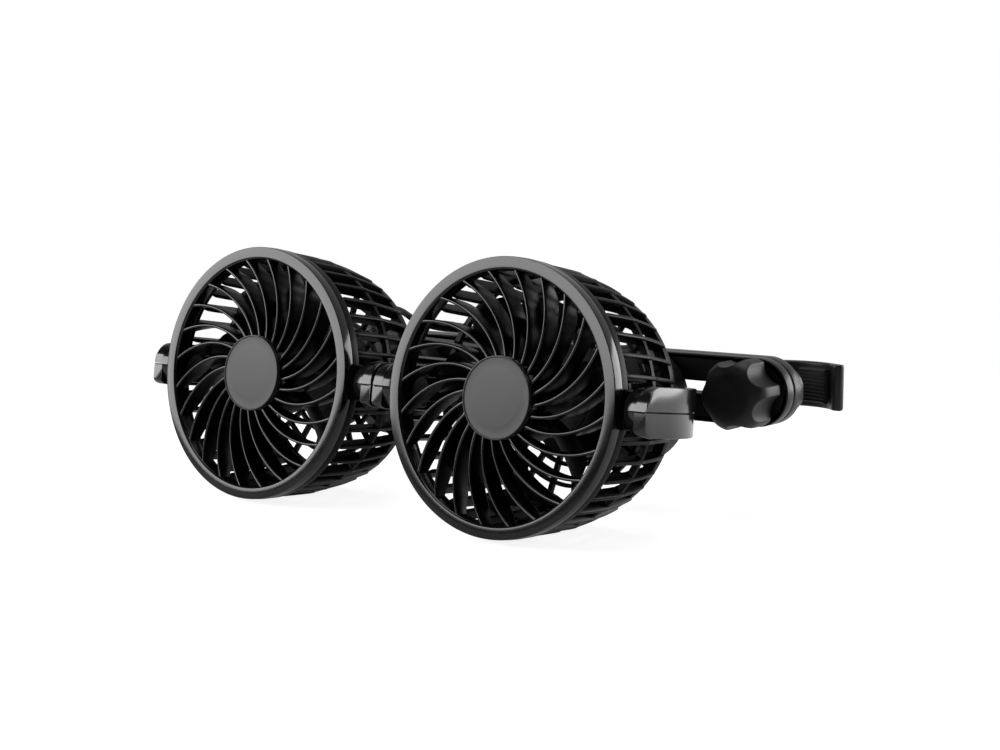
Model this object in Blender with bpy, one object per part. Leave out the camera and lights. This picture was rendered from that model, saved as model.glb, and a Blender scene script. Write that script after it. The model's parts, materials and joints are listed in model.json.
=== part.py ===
"""Dual head car fan with a headrest clamp, as separate pieces on their joint axes."""
import math
from collections import Counter

import bmesh
import bpy
from mathutils import Euler, Vector

# Clearances and shared small sizes
GAP = 0.0003
OVERRUN = 0.002
WALL = 0.0015

# Layout: the ring faces of both heads meet the line of the origin, +Y runs back
PIVOT_DEPTH = 0.0124
PIVOT_DROP = 0.00134
PITCH = math.radians(7.5)
SIDES = {"left": -1, "right": 1}

# Front grille: depths are measured back from the ring's front face
RING_RADIUS = 0.0575
RING_WIDTH = 0.00575
RING_BORE = RING_RADIUS - RING_WIDTH
RING_DEPTH = 0.0051
RING_BEVEL = 0.0006
RIB_COUNT = 24
RIB_TWIST = math.radians(32.8)
RIB_PHASE = math.radians(68.7)
RIB_STEPS = 3
RIB_THICKNESS = 0.0015
RIB_FRONT = 0.00085
RIB_DEPTH = 0.0092
RIB_END_DEPTH = 0.0058
BOSS_RADIUS = 0.0173
BOSS_BORE = 0.004
BOSS_RECESS = 0.0012
BOSS_BACK = 0.0042

# Badge cap
BADGE_RADIUS = 0.0171
BADGE_THICKNESS = 0.0015
BADGE_RIM_WIDTH = 0.0006
BADGE_RIM_HEIGHT = 0.0004

# Rear cage
FIN_COUNT = 40
FIN_THICKNESS = 0.002
REAR_BAR_STEP = 2
CAGE_WALL = 0.0045
FLANGE_WALL = 0.004
FLANGE_STEP = 0.0003
FLANGE_RADIUS = RING_RADIUS - FLANGE_STEP
FLANGE_END = 0.0103
CAGE_DEPTH = 0.0575
END_HOOP_WIDTH = 0.0052
END_HOOP_DEPTH = CAGE_DEPTH - END_HOOP_WIDTH
HOOP_SPACING = 0.0208
MID_HOOP_DEPTH = END_HOOP_DEPTH - HOOP_SPACING
MID_HOOP_WIDTH = 0.003
MID_HOOP_DROP = 0.0015
END_HOOP_DROP = 0.0056
TAIL_DROP = 0.0069
MID_HOOP_RADIUS = FLANGE_RADIUS - MID_HOOP_DROP
END_HOOP_RADIUS = FLANGE_RADIUS - END_HOOP_DROP
TAIL_RADIUS = FLANGE_RADIUS - TAIL_DROP
REAR_WALL = 0.0032
REAR_RIM_WIDTH = 0.0057
MOTOR_PLATE_RADIUS = 0.024
MOTOR_PLATE_BORE = 0.012
REAR_HOOP_RADII = (0.0365, 0.0275)
REAR_HOOP_WIDTH = 0.0018

# Tilt pivots, measured sideways from the head's centre line
TRUNNION_BITE = 0.0047
TRUNNION_STAND = 0.0012
TRUNNION_INSIDE = FLANGE_RADIUS - TRUNNION_BITE
TRUNNION_OUTSIDE = FLANGE_RADIUS + TRUNNION_STAND
TRUNNION_HALF_HEIGHT = 0.008
TRUNNION_FRONT = 0.006
TRUNNION_BACK = 0.0195
PIN_RADIUS = 0.004
PIN_HEAD_RADIUS = 0.0052
PIN_HEAD_LENGTH = 0.0015
PIN_STAND = 0.0081
PIN_HEAD_INSIDE = TRUNNION_INSIDE - GAP - PIN_HEAD_LENGTH
PIN_REACH = TRUNNION_OUTSIDE + PIN_STAND
WASHER_THICKNESS = 0.0011
WASHER_RADIUS = 0.008

# Motor and impeller
MOTOR_RADIUS = 0.0157
MOTOR_FRONT = 0.0131
MOTOR_CAP_LENGTH = 0.0106
MOTOR_CAP_WALL = 0.0025
MOTOR_CAP_BOSS = 0.003
SHAFT_RADIUS = 0.0015
SHAFT_FRONT = 0.009
SHAFT_INSET = 0.0071
ROTOR_CLEARANCE = 0.0006
HUB_CLEARANCE = 0.0008
HUB_WALL = 0.002
HUB_RADIUS = MOTOR_RADIUS + HUB_CLEARANCE + HUB_WALL
HUB_FRONT = 0.0075
HUB_BACK = 0.0227
HUB_SLEEVE_RADIUS = 0.005
BLADE_COUNT = 7
BLADE_TIP_CLEARANCE = 0.0067
BLADE_TIP_RADIUS = PIN_HEAD_INSIDE - BLADE_TIP_CLEARANCE
BLADE_THICKNESS = 0.0016
BLADE_FRONT = 0.0118
BLADE_BACK = 0.0215
BLADE_PHASE = math.radians(24)
BLADE_ROOT_SWEEP = math.radians(16)
BLADE_TIP_SWEEP = math.radians(12)
BLADE_LEAN = math.radians(12)
BLADE_STEPS = 2

# Yoke: a C-shaped arm, centred behind the pivot
YOKE_CENTRE_AHEAD = 0.0385
YOKE_CENTRE = CAGE_DEPTH - YOKE_CENTRE_AHEAD
BARREL_RADIUS = 0.0094
BARREL_LENGTH = 0.0091
BARREL_INSIDE = TRUNNION_OUTSIDE + WASHER_THICKNESS + 2 * GAP
BARREL_OUTSIDE = BARREL_INSIDE + BARREL_LENGTH
YOKE_STAND = 0.0044
YOKE_WALL = 0.0055
YOKE_INSIDE = BARREL_INSIDE + YOKE_STAND
YOKE_OUTSIDE = YOKE_INSIDE + YOKE_WALL
YOKE_SPACING = 0.00134
HEAD_SPACING = 2 * YOKE_OUTSIDE + YOKE_SPACING
YOKE_HALF_HEIGHT = 0.01
YOKE_FRONT = 0.003
YOKE_NOSE_SHARE = 0.53
YOKE_NOSE_STEPS = 3
YOKE_ARC_STEPS = 16
YOKE_NOSE_START_SHARE = 0.2
SEAM = 0.0003
YOKE_BOSS_RADIUS = 0.014
YOKE_BOSS_LENGTH = 0.0082
YOKE_BOSS_FRONT = YOKE_CENTRE + YOKE_INSIDE
YOKE_BOSS_BACK = YOKE_BOSS_FRONT + YOKE_BOSS_LENGTH
CABLE_WAY_AHEAD = 0.007
CABLE_WAY_HEIGHT = 0.0078
CABLE_WAY_WALL = 0.0016
CABLE_WAY_END_SHARE = 0.8
CABLE_WAY_STEPS = 5
YOKE_SCREW_RADIUS = 0.0013
YOKE_SCREW_HEAD_RADIUS = 0.0025
YOKE_SCREW_HEAD_LENGTH = 0.0018
YOKE_SCREW_PITCH = 0.017
YOKE_SCREW_TOP = 0.005
YOKE_SCREW_SEAT = 0.0085

# Swivel between the yoke and its hub base
BOLT_RADIUS = 0.003
BOLT_HEAD_RADIUS = 0.005
BOLT_HEAD_LENGTH = 0.0025
SWIVEL_WASHER_RADIUS = 0.008
SWIVEL_WASHER_THICKNESS = 0.0012
NUT_RADIUS = 0.0055
NUT_LENGTH = 0.004
BASE_RADIUS = 0.0266
BASE_EDGE = 0.003
BASE_CLEARANCE = 0.0013
BASE_LENGTH = 0.0129
BASE_FRONT = YOKE_BOSS_BACK + BASE_CLEARANCE
BASE_BACK = BASE_FRONT + BASE_LENGTH
BASE_WALL = 0.0018
BASE_ACCESS_RADIUS = 0.0092
SADDLE_HALF_WIDTH = 0.0135
SADDLE_DROP = 0.0105
SADDLE_BITE = 0.0014
SADDLE_FRONT = BASE_BACK - SADDLE_BITE

# Clamp bar: level, seen from the front as a slotted bar with round ends
BAR_CENTRE_HEIGHT = -0.0041
KNOB_RADIUS = 0.016
KNOB_SPACING = 0.01273
BOLT_STATION = HEAD_SPACING / 2 + BASE_RADIUS + KNOB_SPACING + KNOB_RADIUS
BOLT_INSET = 0.018
BAR_HALF_LENGTH = BOLT_STATION + BOLT_INSET
BAR_HALF_HEIGHT = 0.01505
BAR_STAND = 0.0028
BAR_FRONT = BASE_BACK + BAR_STAND
BAR_SHELL_DEPTH = 0.0059
SLOT_HALF_HEIGHT = 0.003
SLOT_INNER_END = 0.04
SLOT_END_INSET = 0.0121
SLOT_OUTER_END = BAR_HALF_LENGTH - SLOT_END_INSET
END_STEPS = 8
SLOT_STEPS = 4
HUB_SCREW_RADIUS = 0.0016
HUB_SCREW_HEAD_RADIUS = 0.0031
HUB_SCREW_HEAD_LENGTH = 0.0018
HUB_SCREW_PITCH = 0.02
HUB_SCREW_HEIGHT = 0.0092
HUB_SCREW_BITE = 0.003
SCREW_BOSS_RADIUS = 0.0034

# Jaws: the bolt stands in the slot, the hook curls round the headrest post
CLAMP_BOLT_RADIUS = 0.002
CLAMP_BOLT_HEAD_RADIUS = 0.0038
CLAMP_BOLT_HEAD_LENGTH = 0.0018
JAW_WALL = 0.0042
JAW_HALF_HEIGHT = 0.0102
JAW_BASE_REACH = 0.0165
JAW_RADIUS = 0.0265
JAW_CENTRE_OFFSET = 0.006
JAW_CENTRE_BACK = 0.002
JAW_ARC_END = math.radians(52)
JAW_ARC_STEPS = 12
JAW_LIP_RADIUS = 0.0032
PAD_THICKNESS = 0.0018
PAD_HALF_HEIGHT = 0.0077
PAD_RIDGE_COUNT = 10
PAD_RIDGE_HEIGHT = 0.0006
PAD_START = math.radians(98)
PAD_END = math.radians(60)
PAD_STEPS = 3

# Star knobs: a lobe and its flute run round as (share of the pitch, share of the radius)
KNOB_LOBES = 6
KNOB_PHASE = math.radians(9)
KNOB_LOBE_SHAPE = ((-0.13, 1), (0.13, 1), (0.317, 0.824), (0.5, 0.79), (0.683, 0.824))
KNOB_LENGTH = 0.018
KNOB_DOME_SHARES = ((0, 0.96), (0.06, 1), (0.52, 1), (0.72, 0.965), (0.86, 0.87), (0.95, 0.74), (1, 0.45))
KNOB_WALL = 0.005
KNOB_STEM_RADIUS = 0.006
KNOB_RECESS_DEPTH = 0.0125
KNOB_WASHER_RADIUS = 0.009
KNOB_WASHER_THICKNESS = 0.002

# Leads: the link lead lies on top of the clamp bar and loops up beside the left hub
LEAD_RADIUS = 0.0016
GLAND_RADIUS = 0.0031
GLAND_LENGTH = 0.004
GLAND_BORE = 0.0012
GLAND_INSET = 0.0065
LEFT_GLAND_ANGLE = math.radians(126)
RIGHT_GLAND_ANGLE = math.radians(148)
CORD_GLAND_ANGLE = math.radians(-118)
LEAD_POINT_SPACING = 0.007

# The link lead between its glands: across, then behind the bar's front and above its top
LINK_LEAD_ROUTE = (
    (-0.0905, -0.0067, 0.00855),
    (-0.0800, -0.0072, 0.01225),
    (-0.0690, -0.0077, 0.01125),
    (-0.0610, -0.0057, 0.00685),
    (-0.0520, -0.0002, 0.00345),
    (-0.0380, 0.0048, 0.00245),
    (-0.0180, 0.0058, 0.00225),
    (0.0020, 0.0058, 0.00225),
    (0.0190, 0.0048, 0.00245),
    (0.0300, 0.0008, 0.00305),
    (0.0365, -0.0047, 0.00105),
)

# Facets of round pieces
FINE = 24
MEDIUM = 12
COARSE = 10
SMALL = 8


def paint(name, colour, roughness, metallic=0):
    """A plain Principled material."""
    material = bpy.data.materials.new(name)
    material.use_nodes = True
    surface = material.node_tree.nodes["Principled BSDF"]
    surface.inputs["Base Color"].default_value = (*colour, 1)
    surface.inputs["Roughness"].default_value = roughness
    surface.inputs["Metallic"].default_value = metallic
    material.diffuse_color = (*colour, 1)
    return material


def make_paints():
    """The finishes that the pieces share."""
    return {
        "gloss_black": paint("gloss_black", (0.012, 0.012, 0.013), 0.22),
        "satin_black": paint("satin_black", (0.016, 0.016, 0.017), 0.4),
        "matte_black": paint("matte_black", (0.02, 0.02, 0.02), 0.65),
        "badge_grey": paint("badge_grey", (0.09, 0.09, 0.092), 0.5),
        "rubber": paint("rubber", (0.015, 0.015, 0.015), 0.8),
        "steel": paint("steel", (0.6, 0.6, 0.61), 0.35, 1),
        "motor_steel": paint("motor_steel", (0.5, 0.5, 0.52), 0.4, 1),
    }


def depth(distance):
    """Place along a head's axis, from a depth behind the ring face to its pivot's frame."""
    return distance - PIVOT_DEPTH


def add_object(name, shape, parent, material=None):
    """Close a bmesh into an object under its parent."""
    bmesh.ops.recalc_face_normals(shape, faces=shape.faces)
    mesh = bpy.data.meshes.new(name)
    shape.to_mesh(mesh)
    shape.free()
    mesh.shade_smooth()
    mesh.set_sharp_from_angle(angle=math.radians(35))
    item = bpy.data.objects.new(name, mesh)
    bpy.context.scene.collection.objects.link(item)
    item.parent = parent
    if material is not None:
        mesh.materials.append(material)
    return item


def add_tool(name, shape, parent):
    """A hidden solid that cuts or joins another."""
    tool = add_object(name, shape, parent)
    tool.hide_render = True
    tool.display_type = "WIRE"
    return tool


def apply_tool(item, tool, operation):
    """Cut or join an object with a hidden solid."""
    modifier = item.modifiers.new(tool.name, "BOOLEAN")
    modifier.object = tool
    modifier.operation = operation
    modifier.solver = "EXACT"


def add_empty(name, place, parent=None, rotation=(0, 0, 0)):
    """A frame that carries pieces."""
    frame = bpy.data.objects.new(name, None)
    bpy.context.scene.collection.objects.link(frame)
    frame.parent = parent
    frame.location = place
    frame.rotation_euler = Euler(rotation)
    return frame


def along_x(radius, angle, place):
    """A point of a ring about the X axis."""
    return Vector((place, radius * math.cos(angle), radius * math.sin(angle)))


def along_y(radius, angle, place):
    """A point of a ring about the Y axis."""
    return Vector((radius * math.cos(angle), place, radius * math.sin(angle)))


def along_z(radius, angle, place):
    """A point of a ring about the Z axis."""
    return Vector((radius * math.cos(angle), radius * math.sin(angle), place))


def skin(shape, rings, closed_path=False):
    """Join rings of equal length into a tube, capped unless the path closes."""
    rows = [[shape.verts.new(point) for point in ring] for ring in rings]
    count = len(rows[0])
    spans = len(rows) if closed_path else len(rows) - 1
    for index in range(spans):
        first = rows[index]
        second = rows[(index + 1) % len(rows)]
        for corner in range(count):
            following = (corner + 1) % count
            shape.faces.new((first[corner], first[following], second[following], second[corner]))
    if not closed_path:
        shape.faces.new(rows[0])
        shape.faces.new(rows[-1])


def turn(shape, profile, steps, axis, centre=(0, 0, 0), bored=False):
    """Turn (radius, place) points about an axis, as a solid or round a bore."""
    middle = Vector(centre)
    rings = []
    for radius, place in profile:
        angles = [math.tau * step / steps for step in range(steps)]
        rings.append([middle + axis(radius, angle, place) for angle in angles])
    skin(shape, rings, closed_path=bored)


def turned(profile, steps, axis, centre=(0, 0, 0), bored=False):
    """A new turned solid."""
    shape = bmesh.new()
    turn(shape, profile, steps, axis, centre, bored)
    return shape


def rod(shape, radius, start, end, steps, axis, centre=(0, 0, 0)):
    """A plain cylinder between two places on an axis."""
    turn(shape, ((radius, start), (radius, end)), steps, axis, centre)


def sleeve_profile(bore, radius, start, end):
    """A bored cylinder's outline."""
    return ((bore, start), (radius, start), (radius, end), (bore, end))


def extrude_y(shape, outline, start, end):
    """A prism between two depths, from (x, z) points."""
    skin(shape, [[Vector((x, place, z)) for x, z in outline] for place in (start, end)])


def extrude_z(shape, outline, low, high):
    """A prism between two heights, from (x, y) points."""
    skin(shape, [[Vector((x, y, height)) for x, y in outline] for height in (low, high)])


def box(shape, low, high):
    """A block between two corners."""
    outline = ((low[0], low[1]), (high[0], low[1]), (high[0], high[1]), (low[0], high[1]))
    extrude_z(shape, outline, low[2], high[2])


def lattice(cells, corner):
    """A closed openwork shell: each cell spans two columns and two stations."""
    shape = bmesh.new()
    points = {}
    walls = Counter()

    def point(column, station, face):
        key = (column, station, face)
        if key not in points:
            points[key] = shape.verts.new(corner(column, station, face))
        return points[key]

    for start, end, near, far in cells:
        outline = ((start, near), (end, near), (end, far), (start, far))
        for face in (0, 1):
            shape.faces.new([point(*place, face) for place in outline])
        for index, place in enumerate(outline):
            walls[frozenset((place, outline[(index + 1) % len(outline)]))] += 1
    for edge, uses in walls.items():
        if uses == 1:
            first, second = sorted(edge)
            shape.faces.new((point(*first, 0), point(*second, 0), point(*second, 1), point(*first, 1)))
    return shape


def front_grille(name, parent, material):
    """Bezel ring, swirled ribs and centre boss."""
    stations = [(BOSS_BORE, BOSS_RECESS, BOSS_BACK, 0)]
    stations.append((BOSS_RADIUS, BOSS_RECESS, BOSS_BACK, 0))
    for step in range(1, RIB_STEPS + 1):
        share = step / RIB_STEPS
        radius = BOSS_RADIUS + (RING_BORE - BOSS_RADIUS) * share
        stations.append((radius, RIB_FRONT, RIB_FRONT + (RIB_DEPTH if share < 1 else RIB_END_DEPTH), share))
    stations.append((RING_BORE + RING_BEVEL, 0, RING_DEPTH, 1))
    stations.append((RING_RADIUS, 0, RING_DEPTH, 1))
    first_rib = 1
    last_rib = first_rib + RIB_STEPS
    columns = 2 * RIB_COUNT

    def corner(column, station, face):
        radius, front, back, share = stations[station]
        half = math.asin(RIB_THICKNESS / 2 / max(radius, BOSS_RADIUS))
        side = 1 if column % 2 else -1
        angle = RIB_PHASE + math.tau * (column // 2) / RIB_COUNT + RIB_TWIST * share + side * half
        return along_y(radius, angle, depth(back if face else front))

    cells = []
    for column in range(columns):
        is_rib = column % 2 == 0
        for station in range(len(stations) - 1):
            in_gap = first_rib <= station < last_rib
            if is_rib or not in_gap:
                cells.append((column, (column + 1) % columns, station, station + 1))
    return add_object(name, lattice(cells, corner), parent, material)


def grille_badge(name, parent, material):
    """Bare centre cap with a raised rim."""
    back = depth(BOSS_RECESS - GAP)
    front = back - BADGE_THICKNESS
    rim = BADGE_RADIUS - BADGE_RIM_WIDTH
    profile = ((BADGE_RADIUS, back), (BADGE_RADIUS, front - BADGE_RIM_HEIGHT),
               (rim, front - BADGE_RIM_HEIGHT), (rim, front))
    return add_object(name, turned(profile, FINE, along_y), parent, material)


def cage_stations():
    """Outer and inner (radius, depth) pairs along the cage's wall, front to back."""
    start = RING_DEPTH + GAP
    outer = [(FLANGE_RADIUS, start), (FLANGE_RADIUS, FLANGE_END)]
    inner = [(FLANGE_RADIUS - FLANGE_WALL, start), (FLANGE_RADIUS - FLANGE_WALL, FLANGE_END)]
    slope = (MID_HOOP_RADIUS - END_HOOP_RADIUS) / (END_HOOP_DEPTH - MID_HOOP_DEPTH)
    for radius, place in ((MID_HOOP_RADIUS, MID_HOOP_DEPTH),
                          (MID_HOOP_RADIUS - slope * MID_HOOP_WIDTH, MID_HOOP_DEPTH + MID_HOOP_WIDTH),
                          (END_HOOP_RADIUS, END_HOOP_DEPTH)):
        outer.append((radius, place))
        inner.append((radius - CAGE_WALL, place))
    outer.append((TAIL_RADIUS, CAGE_DEPTH))
    inner.append((TAIL_RADIUS - CAGE_WALL, CAGE_DEPTH - REAR_WALL))
    half = REAR_HOOP_WIDTH / 2
    hoops = [edge for radius in REAR_HOOP_RADII for edge in (radius + half, radius - half)]
    for radius in (TAIL_RADIUS - REAR_RIM_WIDTH, *hoops, MOTOR_PLATE_RADIUS, MOTOR_PLATE_BORE):
        outer.append((radius, CAGE_DEPTH))
        inner.append((radius, CAGE_DEPTH - REAR_WALL))
    return outer, inner


def rear_cage(name, parent, material):
    """Flange, side fins, hoops, rear bars, motor plate and trunnion blocks."""
    outer, inner = cage_stations()
    columns = 2 * FIN_COUNT

    def corner(column, station, face):
        radius, place = inner[station] if face else outer[station]
        half = math.asin(FIN_THICKNESS / 2 / max(radius, MOTOR_PLATE_RADIUS))
        side = 1 if column % 2 else -1
        angle = math.tau * (column // 2 + 0.5) / FIN_COUNT + side * half
        return along_y(radius, angle, depth(place))

    side_rows = range(6)
    side_hoops = (0, 2, 4, 5)
    rear_rows = range(6, len(outer) - 1)
    rear_hoops = (7, 9, 11)
    cells = []
    for fin in range(FIN_COUNT):
        start = 2 * fin
        cells += [(start, start + 1, row, row + 1) for row in side_rows]
        cells += [(start + 1, (start + 2) % columns, row, row + 1) for row in side_hoops]
        if fin % REAR_BAR_STEP == 0:
            following = (start + 2 * REAR_BAR_STEP) % columns
            cells += [(start, start + 1, row, row + 1) for row in rear_rows]
            cells += [(start + 1, following, row, row + 1) for row in rear_hoops]
    cage = add_object(name, lattice(cells, corner), parent, material)
    blocks = bmesh.new()
    bores = bmesh.new()
    for side in SIDES.values():
        near, far = sorted((side * TRUNNION_INSIDE, side * TRUNNION_OUTSIDE))
        box(blocks, (near, depth(TRUNNION_FRONT), -TRUNNION_HALF_HEIGHT),
            (far, depth(TRUNNION_BACK), TRUNNION_HALF_HEIGHT))
        rod(bores, PIN_RADIUS + GAP, side * (TRUNNION_INSIDE - OVERRUN),
            side * (TRUNNION_OUTSIDE + OVERRUN), COARSE, along_x)
    apply_tool(cage, add_tool(name + "_trunnions", blocks, parent), "UNION")
    apply_tool(cage, add_tool(name + "_bores", bores, parent), "DIFFERENCE")
    return cage


def pivot_pin(name, side, parent, material):
    """Headed tilt pin from inside the cage into the yoke's barrel."""
    head = side * (TRUNNION_INSIDE - GAP)
    profile = ((PIN_HEAD_RADIUS, side * PIN_HEAD_INSIDE), (PIN_HEAD_RADIUS, head),
               (PIN_RADIUS, head), (PIN_RADIUS, side * PIN_REACH))
    return add_object(name, turned(profile, COARSE, along_x), parent, material)


def friction_washer(name, side, parent, material):
    """Washer between the trunnion block and the yoke's barrel."""
    start = side * (TRUNNION_OUTSIDE + GAP)
    profile = sleeve_profile(PIN_RADIUS + GAP, WASHER_RADIUS, start, start + side * WASHER_THICKNESS)
    return add_object(name, turned(profile, MEDIUM, along_x, bored=True), parent, material)


def motor_can_back():
    """Depth where the motor can ends and its cap begins."""
    return CAGE_DEPTH - REAR_WALL - GAP - MOTOR_CAP_LENGTH - GAP


def motor(side_name, parent, paints):
    """Motor can and the cup behind it, seated on the cage's rear plate."""
    bore = SHAFT_RADIUS + GAP
    can_back = motor_can_back()
    bore_end = can_back - SHAFT_INSET + GAP
    can = ((bore, depth(bore_end)), (bore, depth(MOTOR_FRONT)), (MOTOR_RADIUS, depth(MOTOR_FRONT)),
           (MOTOR_RADIUS, depth(can_back)))
    add_object(side_name + "_motor_can", turned(can, FINE, along_y), parent, paints["motor_steel"])
    plate = CAGE_DEPTH - REAR_WALL - GAP
    boss = MOTOR_PLATE_BORE - GAP
    inside = MOTOR_RADIUS - MOTOR_CAP_WALL
    cap_front = can_back + GAP
    cap = ((inside, depth(plate - MOTOR_CAP_WALL)), (inside, depth(cap_front)),
           (MOTOR_RADIUS, depth(cap_front)), (MOTOR_RADIUS, depth(plate)), (boss, depth(plate)),
           (boss, depth(plate + MOTOR_CAP_BOSS)))
    add_object(side_name + "_motor_end_cap", turned(cap, FINE, along_y), parent, paints["matte_black"])


def impeller(name, parent, material):
    """Hub cup with swept blades, over the front of the motor."""
    sleeve_back = MOTOR_FRONT - ROTOR_CLEARANCE
    bore = SHAFT_RADIUS + GAP
    floor = HUB_FRONT + HUB_WALL
    rim = HUB_RADIUS - HUB_WALL
    outline = ((bore, depth(SHAFT_FRONT - GAP)), (bore, depth(sleeve_back)),
               (HUB_SLEEVE_RADIUS, depth(sleeve_back)), (HUB_SLEEVE_RADIUS, depth(floor)),
               (rim, depth(floor)), (rim, depth(HUB_BACK)), (HUB_RADIUS, depth(HUB_BACK)),
               (HUB_RADIUS, depth(HUB_FRONT)))
    hub = add_object(name, turned(outline, FINE, along_y), parent, material)
    blades = bmesh.new()
    root = HUB_RADIUS - HUB_WALL / 2
    for blade in range(BLADE_COUNT):
        middle = BLADE_PHASE + math.tau * blade / BLADE_COUNT
        rings = []
        for step in range(BLADE_STEPS + 1):
            share = step / BLADE_STEPS
            radius = root + (BLADE_TIP_RADIUS - root) * share
            sweep = BLADE_ROOT_SWEEP + (BLADE_TIP_SWEEP - BLADE_ROOT_SWEEP) * share
            turn_by = middle - BLADE_LEAN * share
            half = BLADE_THICKNESS / 2 / radius
            front, rear = depth(BLADE_FRONT), depth(BLADE_BACK)
            rings.append([along_y(radius, turn_by + sweep - half, front),
                          along_y(radius, turn_by + sweep + half, front),
                          along_y(radius, turn_by - sweep + half, rear),
                          along_y(radius, turn_by - sweep - half, rear)])
        skin(blades, rings)
    apply_tool(hub, add_tool(name + "_blades", blades, parent), "UNION")
    return hub


def motor_shaft(name, parent, material):
    """Shaft from the impeller's hub into the motor."""
    shape = bmesh.new()
    rod(shape, SHAFT_RADIUS, depth(SHAFT_FRONT), depth(motor_can_back() - SHAFT_INSET), SMALL, along_y)
    return add_object(name, shape, parent, material)


def yoke_path():
    """Centre line of the C-shaped arm: (place, outward direction, share of full height)."""
    middle = depth(YOKE_CENTRE)
    length = (YOKE_CENTRE - YOKE_FRONT) * YOKE_NOSE_SHARE
    nose = []
    for step in range(YOKE_NOSE_STEPS + 1):
        share = 1 - (1 - YOKE_NOSE_START_SHARE) * (1 - step / YOKE_NOSE_STEPS)
        place = YOKE_FRONT + length * (1 - math.sqrt(1 - share * share))
        nose.append((Vector((0, depth(place))), Vector((1, 0)), share))
    arc = []
    for step in range(YOKE_ARC_STEPS + 1):
        angle = math.pi * step / YOKE_ARC_STEPS
        arc.append((Vector((0, middle)), Vector((math.cos(angle), math.sin(angle))), 1))
    mirrored = [(place, -outward, share) for place, outward, share in reversed(nose)]
    return nose + arc + mirrored


def yoke_band(shape, up, inside, outside, low, high, path):
    """A strip of the arm between two offsets and two heights."""
    rings = []
    for place, outward, share in path:
        near = place + outward * inside
        far = place + outward * outside
        top = up * high * share
        base = up * low
        rings.append([Vector((*near, base)), Vector((*far, base)),
                      Vector((*far, top)), Vector((*near, top))])
    skin(shape, rings)


def half_round(radius, up):
    """Half a circle above or below the seam, as (across, height) points."""
    start = math.asin(SEAM / 2 / radius)
    steps = SMALL
    angles = [start + (math.pi - 2 * start) * step / steps for step in range(steps + 1)]
    return [(radius * math.cos(angle), up * radius * math.sin(angle)) for angle in angles]


def yoke_shell(name, up, parent, material):
    """Upper or lower half of the C-shaped arm, with its barrels and swivel boss."""
    shape = bmesh.new()
    path = yoke_path()
    yoke_band(shape, up, YOKE_INSIDE, YOKE_OUTSIDE, SEAM / 2, YOKE_HALF_HEIGHT, path)
    shell = add_object(name, shape, parent, material)
    extras = bmesh.new()
    for side in SIDES.values():
        rings = [[Vector((side * place, across, height))
                  for across, height in half_round(BARREL_RADIUS, up)]
                 for place in (BARREL_INSIDE, BARREL_OUTSIDE)]
        skin(extras, rings)
    extrude_y(extras, half_round(YOKE_BOSS_RADIUS, up), depth(YOKE_BOSS_FRONT), depth(YOKE_BOSS_BACK))
    apply_tool(shell, add_tool(name + "_bosses", extras, parent), "UNION")
    cuts = bmesh.new()
    for side in SIDES.values():
        rod(cuts, PIN_RADIUS + GAP, side * (BARREL_INSIDE - OVERRUN), side * (PIN_REACH + GAP),
            COARSE, along_x)
        screw = side * YOKE_SCREW_PITCH / 2
        middle = (screw, depth((YOKE_BOSS_FRONT + YOKE_BOSS_BACK) / 2 + GAP), 0)
        hole = YOKE_SCREW_RADIUS + GAP
        if up > 0:
            rod(cuts, hole, -SEAM, YOKE_SCREW_TOP + GAP, SMALL, along_z, middle)
        else:
            seat = YOKE_SCREW_SEAT
            profile = ((hole, SEAM), (hole, -seat), (YOKE_SCREW_HEAD_RADIUS + GAP, -seat),
                       (YOKE_SCREW_HEAD_RADIUS + GAP, -YOKE_BOSS_RADIUS - OVERRUN))
            turn(cuts, profile, SMALL, along_z, middle)
    apply_tool(shell, add_tool(name + "_bores", cuts, parent), "DIFFERENCE")
    ways = bmesh.new()
    middle = depth(YOKE_CENTRE)
    for side in SIDES.values():
        way = []
        for step in range(CABLE_WAY_STEPS + 1):
            share = CABLE_WAY_END_SHARE * step / CABLE_WAY_STEPS
            start = math.asin(CABLE_WAY_AHEAD / YOKE_OUTSIDE)
            angle = start + (math.pi / 2 - start) * share
            way.append((Vector((0, middle)), Vector((side * math.cos(angle), math.sin(angle))), 1))
        yoke_band(ways, up, YOKE_INSIDE + CABLE_WAY_WALL, YOKE_OUTSIDE - CABLE_WAY_WALL,
                  -OVERRUN, CABLE_WAY_HEIGHT, way)
    apply_tool(shell, add_tool(name + "_cable_ways", ways, parent), "DIFFERENCE")
    bolt_way = bmesh.new()
    head_back = YOKE_BOSS_FRONT + BOLT_HEAD_LENGTH + GAP
    profile = ((BOLT_HEAD_RADIUS + GAP, depth(YOKE_BOSS_FRONT - OVERRUN)),
               (BOLT_HEAD_RADIUS + GAP, depth(head_back)), (BOLT_RADIUS + GAP, depth(head_back)),
               (BOLT_RADIUS + GAP, depth(YOKE_BOSS_BACK + OVERRUN)))
    turn(bolt_way, profile, MEDIUM, along_y)
    apply_tool(shell, add_tool(name + "_bolt_way", bolt_way, parent), "DIFFERENCE")
    return shell


def yoke_screw(name, side, parent, material):
    """Screw that closes the two yoke shells beside the swivel bolt."""
    middle = (side * YOKE_SCREW_PITCH / 2, depth((YOKE_BOSS_FRONT + YOKE_BOSS_BACK) / 2 + GAP), 0)
    head = -YOKE_SCREW_SEAT - GAP
    profile = ((YOKE_SCREW_RADIUS, YOKE_SCREW_TOP), (YOKE_SCREW_RADIUS, head),
               (YOKE_SCREW_HEAD_RADIUS, head), (YOKE_SCREW_HEAD_RADIUS, head - YOKE_SCREW_HEAD_LENGTH))
    return add_object(name, turned(profile, SMALL, along_z, middle), parent, material)


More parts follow.
